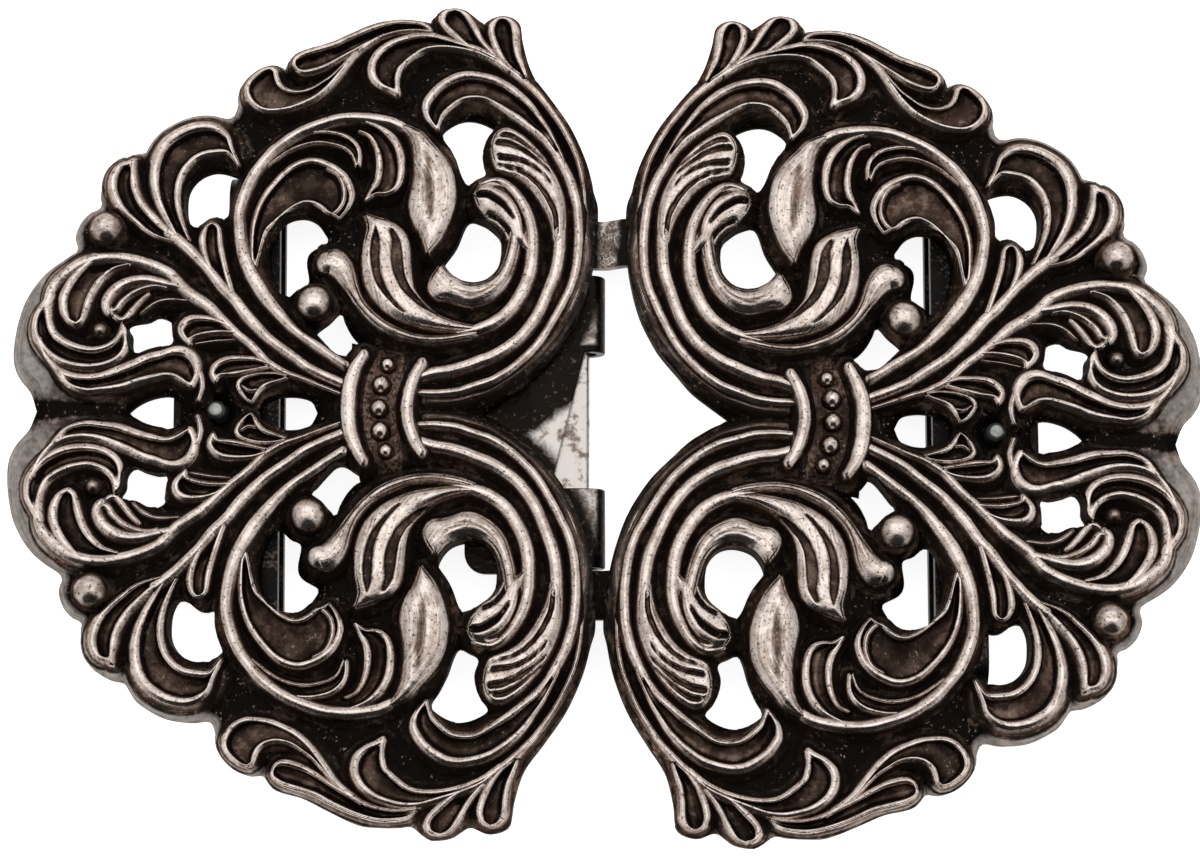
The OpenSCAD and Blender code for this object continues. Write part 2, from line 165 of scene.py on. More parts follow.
def makeOxidisedSilver():
    shader = newShader("oxidisedSilver")
    finish = shader.attribute("finish", "Color")
    silver, brown, slope = shader.add("ShaderNodeSeparateColor", {}, {0: finish}, 0, 1, 2)
    wear = shader.noise(oxide["wearScale"], 5, 0.62)
    mottle = shader.noise(oxide["mottleScale"], 5, 0.66)
    pits = shader.noise(oxide["pitScale"], 2, 0.5)
    grain = shader.scaled(shader.attribute("grain", "Vector"), oxide["streak"])
    streak = shader.noise(1.0, 4, 0.58, coord=grain)
    wearing, mottling = wear - 0.5, mottle - 0.5

    level = silver + wearing * oxide["wearDepth"] * (silver * 1.1 + 0.1)
    level = level + (streak - 0.5) * oxide["streakDepth"] * silver * (1.3 - silver) * 2.6
    level = level - (1 - pits.between(0.32, 0.4)) * oxide["pitDepth"] * silver
    metal = shader.mix(mottle.between(0.42, 0.62), shader.ramp(level, oxide["patina"]),
                       shader.ramp(level, oxide["worn"]))

    # the brown crust: some leaves were wiped cleaner than others
    rubbed = (mottle + wearing * 0.7).between(0.4, 0.64)
    wiped = shader.noise(oxide["wipedScale"], 2, 0.5).between(0.38, 0.6)
    earthy = shader.mix(rubbed, oxide["brown"], oxide["paleBrown"])
    earthy = shader.mix(wiped * 0.75 + 0.2, oxide["stipple"], earthy)
    stippled = (1 - pits.between(0.4, 0.54)) * (shader.attribute("finish", "Alpha") * 0.7 + 0.12)
    earthy = shader.mix(stippled, earthy, oxide["stipple"])
    stain = (brown + mottling * 1.5 + wearing * 0.5).between(0.3, 0.8) * (1 - silver.between(0.35, 0.95))
    colour = shader.mix(stain, metal, earthy)

    # the grey of the rubbed outer slopes
    satin = (streak * 0.6 + mottle * 0.4 + wearing * 0.4).between(0.25, 0.72)
    satin = shader.mix(satin, oxide["slope"], oxide["rubbedSlope"])
    colour = shader.mix((slope + wearing * 0.35 + mottling * 0.5).between(0.2, 0.95), colour, satin)

    # specks of bare metal show through the crust, painted pale as glints of light
    glintSpecks = shader.noise(oxide["speckScale"], 2, 0.6).between(0.6, 0.68)
    glintSpecks = glintSpecks * (mottle + wearing * 0.6).between(0.48, 0.62)
    colour = shader.mix(glintSpecks * oxide["speckDepth"], colour, oxide["speck"])

    roughness = level.between(0.1, 0.9) * (oxide["silverRough"] - oxide["oxideRough"]) + oxide["oxideRough"]
    roughness = roughness + wearing * 0.2 + mottling * 0.12
    # light sinks into the oxide's crust, so the hollows glow a little brown
    metallic = level.between(0.08, 0.45) * (1 - oxide["leastMetal"]) + oxide["leastMetal"]
    height = wear * 0.5 + pits * 0.3 + mottle * 0.8 + streak * 0.5
    return shader.finish({"Base Color": colour, "Roughness": roughness, "Metallic": metallic,
                          "Normal": shader.bump(height, 0.55, oxide["bumpDepth"]),
                          "Specular Tint": oxide["edgeTint"], "IOR": oxide["edgeIor"]})


sheet = {
    # the black is both tarnish and painted shade under the castings
    "colour": (0.50, 0.46, 0.43), "dull": (0.15, 0.112, 0.092), "tarnishShadeColour": (0.009, 0.007, 0.006),
    "earth": (0.07, 0.045, 0.033), "rough": 0.16, "grainScale": 2400, "cloudScale": 750, "bumpDepth": 0.00006,
    # the big scrolls of both castings in millimetres: x, y and radius
    "scrolls": [(-12.14, 11.13, 11.2), (-12.14, -10.58, 11.2), (12.59, 10.46, 11.2), (11.38, -11.2, 11.2)],
}


def makeSheetSilver(name, tarnishAndShadeMask):
    # polished sheet, painted black where it goes in under the castings, as tarnish and as the shade they cast
    shader = newShader(name)
    cloud = shader.noise(sheet["cloudScale"], 4, 0.6, 0.4)
    grain = shader.noise(sheet["grainScale"], 3, 0.6)
    fine = shader.noise(sheet["grainScale"] * 3, 2, 0.5)
    millimetres = shader.scaled(shader.coord, (1000, 1000, 0))
    x, y = shader.add("ShaderNodeSeparateXYZ", {}, {0: millimetres}, "X", "Y")
    ragged = (cloud - 0.5) * 0.9 + (grain - 0.5) * 0.6
    clear = None
    for across, middle, radius in sheet["scrolls"]:
        away = shader.add("ShaderNodeVectorMath", {"operation": "DISTANCE"},
                          {0: millimetres, 1: (across, middle, 0)}, "Value") - radius
        clear = away if clear is None else clear.math("MINIMUM", away)
    black, mottled = tarnishAndShadeMask(x, y, clear, ragged)
    stains = (cloud + (grain - 0.5) * 0.5 + mottled * 0.13).between(0.5, 0.68)
    colour = shader.mix(stains, sheet["colour"], sheet["dull"])
    colour = shader.mix(mottled * (fine * 0.5 + grain * 0.5).between(0.53, 0.4), colour, sheet["earth"])
    dark = shader.mix(grain.between(0.58, 0.78) * 0.6, sheet["tarnishShadeColour"], sheet["dull"])
    colour = shader.mix(black, colour, dark)
    roughness = cloud * 0.18 + (fine - 0.5) * 0.06 + sheet["rough"] + mottled * 0.12
    height = grain * (mottled * 5 + 1) + cloud * 1.5
    return shader.finish({"Base Color": colour, "Roughness": roughness, "Metallic": 1.0,
                          "Normal": shader.bump(height, 0.3, sheet["bumpDepth"])})


def hookTarnishAndShade(x, y, clear, ragged):
    # black beside the castings as tarnish and painted shade, in the corner below the upper ear as tarnish,
    # and where the ears are rolled over as painted shade with tarnish
    ear = y.math("ABSOLUTE").between(4.5, 4.6)
    upper = y.between(4.4, 4.5)
    beside = 1 - (clear - upper * 0.35 - 0.25 + ragged).between(0.0, 0.9)
    corner = (y - x * 0.74 - 2.6 + ragged * 1.3).between(-0.5, 0.5) * (1 - ear)
    # painted shade on the side that rolls down, with tarnish
    rolled = (x + ragged * 0.2).between(-0.78, -0.5)
    end = (1 - y.between(4.95, 5.2)) * upper
    black = beside.math("MAXIMUM", corner).math("MAXIMUM", rolled).math("MAXIMUM", end)
    return black, (ear * 0.55).math("MAXIMUM", 1 - x.between(-5.0, -4.9))


def catchTarnishAndShade(x, y, clear, ragged):
    # the long bar is bright, the upper arm mottled between ends painted dark as the shade on its curved
    # sides, the lower arm painted black
    arm = y.math("ABSOLUTE").between(9.3, 9.8)
    ends = 1 - (x + ragged * 0.7).between(-0.75, -0.3) * (1 - (x + ragged * 0.9).between(0.35, 0.9))
    lower = 1 - y.between(-9.0, -8.0)
    return (ends * arm).math("MAXIMUM", lower * (ragged + 0.9).between(0.0, 0.2)), arm


strip = {"colour": (0.010, 0.009, 0.0085), "worn": (0.085, 0.068, 0.058), "rough": 0.35,
         "speckScale": 4500, "cloudScale": 500, "bumpDepth": 0.00005}


def makeDarkStrip():
    shader = newShader("darkStrip")
    speck = shader.noise(strip["speckScale"], 3, 0.6)
    cloud = shader.noise(strip["cloudScale"], 4, 0.55)
    colour = shader.mix((speck * cloud * 2).between(0.52, 0.8), strip["colour"], strip["worn"])
    return shader.finish({"Base Color": colour, "Roughness": cloud * 0.2 + strip["rough"], "Metallic": 1.0,
                          "Normal": shader.bump(speck + cloud, 0.3, strip["bumpDepth"])})


rivet = {"colour": (0.20, 0.195, 0.18), "pale": (0.40, 0.42, 0.40), "rough": 0.3, "scale": 1100,
         "bumpDepth": 0.00008}


def makeRivetSilver():
    shader = newShader("rivetSilver")
    cloud = shader.noise(rivet["scale"], 4, 0.6)
    colour = shader.mix(cloud.between(0.4, 0.7), rivet["colour"], rivet["pale"])
    return shader.finish({"Base Color": colour, "Roughness": cloud * 0.25 + rivet["rough"], "Metallic": 0.9,
                          "Normal": shader.bump(cloud, 0.4, rivet["bumpDepth"])})


materials = {
    "oxidised_silver": makeOxidisedSilver(), "dark_strip": makeDarkStrip(), "rivet_silver": makeRivetSilver(),
    "hook_plate": makeSheetSilver("hookSheet", hookTarnishAndShade),
    "catch_frame": makeSheetSilver("catchSheet", catchTarnishAndShade),
}
print("materials made:", len(materials))

# The ornament of one quarter of a casting, drawn from the collar's centre outwards. Rows are x, y.

edgeLine = [
    (-6.6, 0), (-7.83, 0.79), (-9, 1.6), (-9.93, 2.55), (-10.9, 3.55), (-11.5, 4.3), (-12.5, 6),
    (-13.17, 7.9), (-13.6, 10), (-13.8, 12.9), (-13.5, 14.2), (-12.98, 16.05), (-11.98, 18.2),
    (-10.64, 20.1), (-9.45, 21.7), (-8.88, 23.4), (-8.74, 24.3), (-8.6, 24.95), (-8.1, 25.3), (-7.2, 25.43),
    (-6.2, 25.05), (-5.64, 25.3), (-4.98, 25.7), (-3.93, 25.84), (-3.45, 25.7), (-2.55, 25.05),
    (-1.74, 25.1), (-0.6, 25.1), (0.74, 24.97), (2.45, 24.24), (4.17, 23.43), (5.88, 22.95), (6.64, 22.12),
    (7.6, 22.1), (8.45, 21.76), (9.1, 21.2), (9.6, 20.4), (10.05, 18.95), (11.36, 18.95), (13.07, 18.69),
    (14.6, 17.86), (15.07, 17.33), (15.55, 16.64), (16.4, 16.45), (17.17, 16.05), (17.83, 15.4),
    (18.2, 14.6), (18.4, 13.05), (18.98, 12.7), (19.55, 12.14), (19.88, 11.4), (19.93, 10.9), (19.8, 10.17),
    (20.98, 9.36), (21.74, 8.74), (22.4, 7.93), (22.98, 6.88), (23.3, 5.83), (23.5, 4.7), (23.55, 3.45),
    (23.36, 2.6), (22.98, 1.93), (22.3, 1.12), (21.88, 0),
]

cuts = {
    "fan": [(-7.15, 18.1), (-6.3, 18.65), (-5.3, 18.85), (-4.4, 18.6), (-3.6, 17.9), (-4.1, 17), (-4.6, 16),
        (-4.95, 15), (-5.3, 14.45), (-5.9, 14.7), (-6.55, 15.1), (-6.3, 16), (-6.4, 16.8), (-6.7, 17.5)],
    "eye": [(-7.5, 11), (-7, 11.6), (-6.3, 12.05), (-5.4, 12.15), (-4.7, 10.6), (-4, 9.6), (-3.9, 9.3),
        (-4.3, 8.6), (-4.9, 8.15), (-5.9, 7.95), (-6.8, 8.2), (-7.4, 8.9), (-7.6, 9.8)],
    "scroll": [(3.65, 10.85), (3.9, 11.5), (4.4, 12.1), (5.2, 12.4), (6.2, 12.2), (6.9, 11.5), (7.3, 10.4),
        (7.2, 9), (6.8, 7.7), (6.2, 7.25), (5.5, 7.8), (4.8, 8.2), (4.95, 9.5), (4.7, 10.2)],
    "diamond": [(1, 4.1), (1.5, 4.45), (2, 5), (2.4, 5.7), (2.7, 6.35), (3.4, 5.7), (4.25, 5), (3.9, 4.6),
        (3.2, 3.8), (2.7, 3.35), (2.2, 3.3), (1.6, 3.65)],
    "leaf": [(9.4, 14.8), (10.1, 15.2), (11, 15.35), (11.8, 15.1), (12.4, 14.6), (12.75, 13.9), (12.8, 13),
        (12.7, 12.3), (12.4, 11.7), (12.1, 11.6), (11.6, 11.8), (11.1, 12.2), (10.6, 12.3), (10, 12.2),
        (9.95, 12.9), (9.8, 13.8)],
    "volute": [(13.25, 4), (13.35, 5.2), (13.6, 5.75), (14.35, 6), (15, 5.7), (15.9, 5.55), (16.3, 5.3),
        (16, 4.8), (15.95, 4), (15.5, 3.5), (14.8, 3.75), (14, 3.95)],
}
midCuts = {  # halves of the cuts that lie across the midline
    "lens": [(12.65, 0), (12.8, 0.7), (13.3, 1), (14, 1), (14.9, 0.75), (15.6, 0.35), (16, 0)],
    "waist": [(4, 0), (4.4, 0.75), (5.1, 1), (5.9, 1.05), (6.6, 0.95), (7.4, 0.6), (7.6, 0)],
}

# Hollow leaves: the outer rim from foot to head, its half widths, the inner rim and its half widths
leaves = {
    "crest": (
        [(-8, 21.6), (-7, 22.35), (-6, 22.8), (-5, 23.12), (-4, 23.42), (-3, 23.68), (-2, 23.7),
         (-1.1, 23.5), (-0.3, 23.2), (0.4, 22.7), (0.8, 22.1), (0.88, 21.5), (0.7, 20.98), (0.2, 20.55),
         (-0.35, 20.3), (-0.8, 20)],
        (0.14, 0.2, 0.2, 0.2, 0.2, 0.2, 0.14),
        [(-8, 21.55), (-7, 22.25), (-6, 22.7), (-5, 22.97), (-4, 23.1), (-3.1, 23.08), (-2.4, 22.9),
         (-1.8, 22.5), (-1.3, 22.1), (-0.9, 21.7), (-0.75, 21.2), (-0.7, 20.6), (-0.82, 20.05)],
        (0.12, 0.14, 0.14, 0.13, 0.12)),
    "shoulder": (
        [(-11.62, 15.2), (-11.48, 15.9), (-11.15, 16.6), (-10.6, 17.6), (-10, 18.4), (-9.4, 19.2),
         (-8.8, 19.8), (-8, 20.4), (-7.2, 20.85), (-6.4, 21.08), (-5.5, 21.2), (-4.7, 21.1), (-4, 20.75),
         (-3.4, 20.3), (-2.95, 19.75), (-2.7, 19.2), (-2.8, 18.6), (-3.1, 18.1), (-3.4, 17.7)],
        (0.04, 0.06, 0.14, 0.19, 0.2, 0.22, 0.22, 0.08),
        [(-11.3, 15.9), (-10.8, 16.6), (-10.2, 17.3), (-9.5, 17.85), (-8.8, 18.35), (-8.1, 18.8),
         (-7.3, 19.3), (-6.5, 19.72), (-5.7, 19.8), (-5, 19.68), (-4.4, 19.3), (-3.9, 18.85), (-3.6, 18.4),
         (-3.42, 17.75)],
        (0.17, 0.2, 0.18, 0.12, 0.1, 0.11, 0.09)),
    "lobe": (
        [(-6.9, 22.6), (-6.3, 23.25), (-5.95, 23.8), (-5.6, 24.4), (-5.25, 24.95), (-4.9, 25.3),
         (-4.45, 25.45)],
        (0.14, 0.13, 0.13, 0.12, 0.07),
        [(-6.5, 22.7), (-5.8, 22.95), (-5.2, 23.25), (-4.7, 23.65), (-4.2, 24.1), (-3.75, 24.55),
         (-3.6, 24.95), (-3.85, 25.3), (-4.4, 25.46)],
        (0.1, 0.12, 0.16, 0.15, 0.07)),
    "backLobe": (
        [(-9, 21.2), (-8.75, 21.8), (-8.5, 22.4), (-8.38, 23), (-8.3, 23.6), (-8.28, 24.15), (-8.15, 24.55),
         (-7.85, 24.83), (-7.5, 24.92)],
        (0.07, 0.12, 0.12, 0.13, 0.08),
        [(-8.7, 21.3), (-8, 21.85), (-7.5, 22.45), (-7.15, 23.05), (-6.9, 23.7), (-6.8, 24.2),
         (-6.95, 24.6), (-7.25, 24.85), (-7.48, 24.93)],
        (0.06, 0.1, 0.14, 0.14, 0.08)),
    "edge": (
        [(-2.9, 24.15), (-2.3, 24.5), (-1.5, 24.62), (-0.6, 24.62), (0.4, 24.4), (1.4, 24.05), (2.4, 23.6),
         (3.2, 23.2), (4, 22.95), (4.8, 22.72), (5.4, 22.5), (5.8, 22.2), (5.87, 21.9)],
        (0.06, 0.08, 0.09, 0.1, 0.11, 0.1, 0.1),
        [(-2.9, 24.05), (-1.9, 24.15), (-1, 24.1), (-0.2, 23.92), (0.6, 23.6), (1.3, 23.25), (2, 22.85),
         (2.7, 22.45), (3.3, 22.1), (4, 21.72), (4.7, 21.48), (5.3, 21.38), (5.7, 21.55), (5.86, 21.88)],
        (0.05, 0.06, 0.08, 0.1, 0.1, 0.14, 0.1)),
    "edgeCurl": (
        [(0.2, 23.85), (0.8, 23.45), (1.4, 23.05), (1.9, 22.7), (2.3, 22.3), (2.7, 21.8), (3.15, 21.2),
         (3.6, 20.65), (4.1, 20.15), (4.7, 19.7), (5.4, 19.35), (6.2, 19.05), (7, 18.92), (7.7, 18.92),
         (8.3, 19.18), (8.75, 19.65), (8.92, 20.2), (8.75, 20.7), (8.35, 21.1), (7.9, 21.4), (7.5, 21.52)],
        (0.08, 0.13, 0.19, 0.2, 0.18, 0.15, 0.13, 0.1, 0.1),
        [(0.5, 23.7), (0.9, 23.44), (1.5, 23.05), (2.05, 22.6), (2.5, 22.1), (3, 21.55), (3.5, 21.05),
         (4, 20.7), (4.6, 20.3), (5.2, 20.08), (5.8, 20.02), (6.3, 20.12), (6.7, 20.35), (6.95, 20.65),
         (7.08, 21), (7.2, 21.35), (7.48, 21.53)],
        (0.06, 0.08, 0.08, 0.1, 0.12, 0.12, 0.1)),
    "ringCrescent": (
        [(1.2, 18.15), (0.5, 17.85), (-0.05, 17.5), (-0.5, 17.05), (-0.85, 16.5), (-1.05, 15.9),
         (-1.12, 15.2), (-1.08, 14.6), (-0.9, 14.05), (-0.55, 13.72), (-0.1, 13.58), (0.45, 13.55),
         (1.05, 13.1)],
        (0.06, 0.14, 0.2, 0.22, 0.18, 0.13, 0.11, 0.05),
        [(1.6, 17.55), (1, 17.3), (0.65, 16.85), (0.4, 16.3), (0.28, 15.7), (0.25, 15.1), (0.33, 14.5),
         (0.5, 14.05), (0.8, 13.6), (1.08, 13.12)],
        (0.05, 0.08, 0.12, 0.14, 0.14, 0.05)),
    "innerCrescent": (
        [(1.6, 15.4), (1.62, 16.1), (1.85, 16.65), (2.35, 17.1), (3, 17.35), (4, 17.48), (5, 17.35),
         (6, 16.95), (6.9, 16.3), (7.6, 15.5)],
        (0.1, 0.13, 0.12, 0.08, 0.06, 0.05),
        [(1.75, 15.3), (2.05, 16.05), (2.5, 16.45), (3.2, 16.68), (4, 16.82), (4.8, 16.75), (5.6, 16.5),
         (6.3, 16.15), (6.9, 15.7), (7.55, 15.2)],
        (0.04, 0.06, 0.07, 0.07, 0.05)),
    "ringCurl": (
        [(8.15, 8.9), (8.2, 9.8), (8.2, 10.8), (8.15, 11.5), (8, 12.15), (7.75, 12.85), (7.4, 13.5),
         (6.95, 14.1), (6.4, 14.7), (5.8, 15.2), (5.1, 15.52), (4.4, 15.6), (3.7, 15.4), (3.1, 15.1),
         (2.55, 14.65), (2.2, 14.1), (2.03, 13.5), (2.12, 12.95), (2.4, 12.4), (2.75, 11.95)],
        (0.14, 0.15, 0.16, 0.16, 0.16, 0.15, 0.15, 0.13, 0.06),
        [(8, 8.9), (7.8, 9.8), (7.65, 10.5), (7.45, 11.1), (7.1, 11.5), (6.6, 11.95), (6.1, 12.4),
         (5.6, 12.75), (5, 12.98), (4.4, 12.92), (3.9, 12.65), (3.55, 12.35), (3.2, 12.22), (2.95, 12.1),
         (2.77, 11.95)],
        (0.06, 0.07, 0.1, 0.1, 0.1, 0.1, 0.1, 0.06)),
    "side": (
        [(12.7, 10.3), (13.2, 11), (13.6, 11.7), (13.95, 12.35), (14.25, 13), (14.48, 13.7), (14.6, 14.4),
         (14.58, 15.1), (14.48, 15.7), (14.25, 16.3), (13.85, 16.85), (13.3, 17.25), (12.6, 17.6),
         (11.8, 17.78), (11.1, 17.75), (10.55, 17.5), (10.15, 17.1), (9.98, 16.6), (9.75, 16.1),
         (9.5, 15.7), (9.3, 15.3)],
        (0.06, 0.14, 0.19, 0.22, 0.2, 0.18, 0.17, 0.14, 0.06),
        [(12.3, 10.5), (12.65, 11.2), (12.9, 11.8), (13.08, 12.4), (13.2, 13.1), (13.2, 13.8),
         (13.08, 14.4), (12.85, 14.95), (12.5, 15.4), (12.05, 15.8), (11.5, 16.05), (10.9, 16.15),
         (10.3, 16.2), (9.95, 16.12), (9.6, 15.72), (9.32, 15.32)],
        (0.04, 0.1, 0.13, 0.12, 0.12, 0.12, 0.05)),
    "outer": (
        [(12.9, 10.3), (13.4, 10.7), (14, 11.15), (14.7, 11.8), (15.3, 12.45), (15.7, 13.1), (15.98, 13.8),
         (16.12, 14.5), (16.15, 15.1), (16.08, 15.5)],
        (0.12, 0.18, 0.2, 0.17, 0.15, 0.14, 0.09),
        [(13.2, 10.4), (14.2, 10.7), (15, 11.1), (15.6, 11.6), (16.2, 12.1), (16.8, 12.75), (17.15, 13.35),
         (17.32, 13.95), (17.28, 14.5), (17.05, 14.95), (16.75, 15.2), (16.4, 15.3), (16.12, 15.5)],
        (0.04, 0.07, 0.09, 0.12, 0.13, 0.13, 0.08)),
    "slim": (
        [(9.4, 7), (9.75, 7.9), (10, 8.7), (10.2, 9.5), (10.35, 10.2), (10.4, 10.8), (10.48, 11.25),
         (10.7, 11.46), (10.9, 11.5)],
        (0.12, 0.15, 0.14, 0.12, 0.09),
        [(9.7, 7), (10.25, 7.8), (10.8, 8.6), (11.2, 9.4), (11.38, 10.1), (11.42, 10.7), (11.28, 11.15),
         (11.08, 11.42), (10.93, 11.5)],
        (0.05, 0.06, 0.1, 0.14, 0.1)),
    "voluteCrescent": (
        [(16.1, 8.95), (16.9, 8.75), (17.45, 8.4), (17.95, 7.9), (18.35, 7.25), (18.6, 6.6), (18.8, 6),
         (18.97, 5.45), (19.25, 5.2)],
        (0.06, 0.09, 0.12, 0.13, 0.13, 0.1),
        [(18.3, 9.25), (18.9, 8.75), (19.4, 8.2), (19.8, 7.6), (20.08, 7), (20.15, 6.4), (20.02, 5.85),
         (19.7, 5.42), (19.3, 5.2)],
        (0.12, 0.14, 0.14, 0.14, 0.12, 0.1)),
    "voluteCurl": (
        [(21.06, 7.05), (21.22, 6.6), (21.5, 6.1), (21.76, 5.45), (21.75, 4.6), (21.35, 3.9), (20.9, 3.4),
         (20.4, 3.05), (19.8, 2.78), (19.1, 2.62), (18.3, 2.57), (17.5, 2.68), (16.8, 2.95), (16.35, 3.35),
         (16.12, 3.9), (16.1, 4.45), (16.22, 5.1)],
        (0.05, 0.1, 0.13, 0.14, 0.14, 0.13, 0.13, 0.1),
        [(21.04, 7), (21.12, 6.5), (21.17, 5.95), (21.1, 5.4), (20.92, 4.85), (20.6, 4.4), (20.1, 4.05),
         (19.5, 3.77), (18.8, 3.57), (18.1, 3.5), (17.4, 3.65), (16.9, 3.9), (16.55, 4.25), (16.35, 4.7),
         (16.28, 5.1)],
        (0.14, 0.14, 0.13, 0.12, 0.11, 0.11, 0.08)),
    "outerCurl": (
        [(21.6, 4.2), (21.35, 3.5), (21, 2.9), (20.6, 2.45), (20.1, 2.1), (19.5, 1.85), (18.8, 1.72),
         (18.1, 1.72), (17.4, 1.82), (16.7, 2.02), (16.1, 2.25), (15.5, 2.5), (14.9, 2.8), (14.3, 3.05),
         (13.7, 3.2), (13.2, 3.38), (12.7, 3.48), (12.2, 3.38), (11.8, 3.05), (11.6, 2.55), (11.6, 2),
         (11.83, 1.42)],
        (0.08, 0.12, 0.14, 0.15, 0.18, 0.25, 0.25, 0.2, 0.22, 0.24, 0.14),
        [(21.5, 4.1), (21.1, 3.3), (20.6, 2.65), (20.1, 2), (19.5, 1.4), (18.5, 1.08), (17.6, 1.15),
         (16.9, 1.22), (16.2, 1.36), (15.5, 1.6), (14.8, 1.8), (14.1, 1.95), (13.5, 2.05), (12.9, 1.98),
         (12.4, 1.72), (12.1, 1.52), (11.86, 1.38)],
        (0.04, 0.05, 0.06, 0.07, 0.1, 0.12, 0.15, 0.15, 0.13, 0.09, 0.06)),
    "upperSprig": (
        [(9.2, 4.75), (9.8, 5.15), (10.5, 5.4), (11.2, 5.5), (11.9, 5.48), (12.35, 5.25), (12.48, 4.85),
         (12.3, 4.4), (11.95, 3.95)],
        (0.08, 0.13, 0.14, 0.17, 0.19, 0.08),
        [(9.2, 4.68), (9.9, 4.74), (10.6, 4.7), (11.3, 4.58), (11.8, 4.42), (12.02, 4.2), (11.97, 3.97)],
        (0.06, 0.08, 0.08, 0.08, 0.06)),
    "middleSprig": (
        [(7, 2.75), (7.7, 2.95), (8.4, 3.02), (9.1, 3.02), (9.7, 2.92), (10.15, 2.65), (10.42, 2.3),
         (10.42, 1.95), (10.3, 1.65)],
        (0.1, 0.12, 0.13, 0.15, 0.19, 0.08),
        [(7, 2.55), (7.7, 2.42), (8.4, 2.27), (9.1, 2.14), (9.7, 2.1), (10.05, 2.05), (10.22, 1.85),
         (10.28, 1.67)],
        (0.06, 0.08, 0.1, 0.1, 0.06)),
    "lowerSprig": (
        [(5.8, 1.98), (6.6, 2.1), (7.4, 2.1), (8.1, 1.98), (8.65, 1.75), (8.85, 1.42), (8.6, 0.95),
         (8.25, 0.55), (7.95, 0.38)],
        (0.04, 0.06, 0.07, 0.09, 0.1, 0.06),
        [(5.8, 1.85), (6.5, 1.66), (7.1, 1.45), (7.5, 1.1), (7.75, 0.7), (7.92, 0.4)],
        (0.05, 0.09, 0.11, 0.1, 0.05)),
}

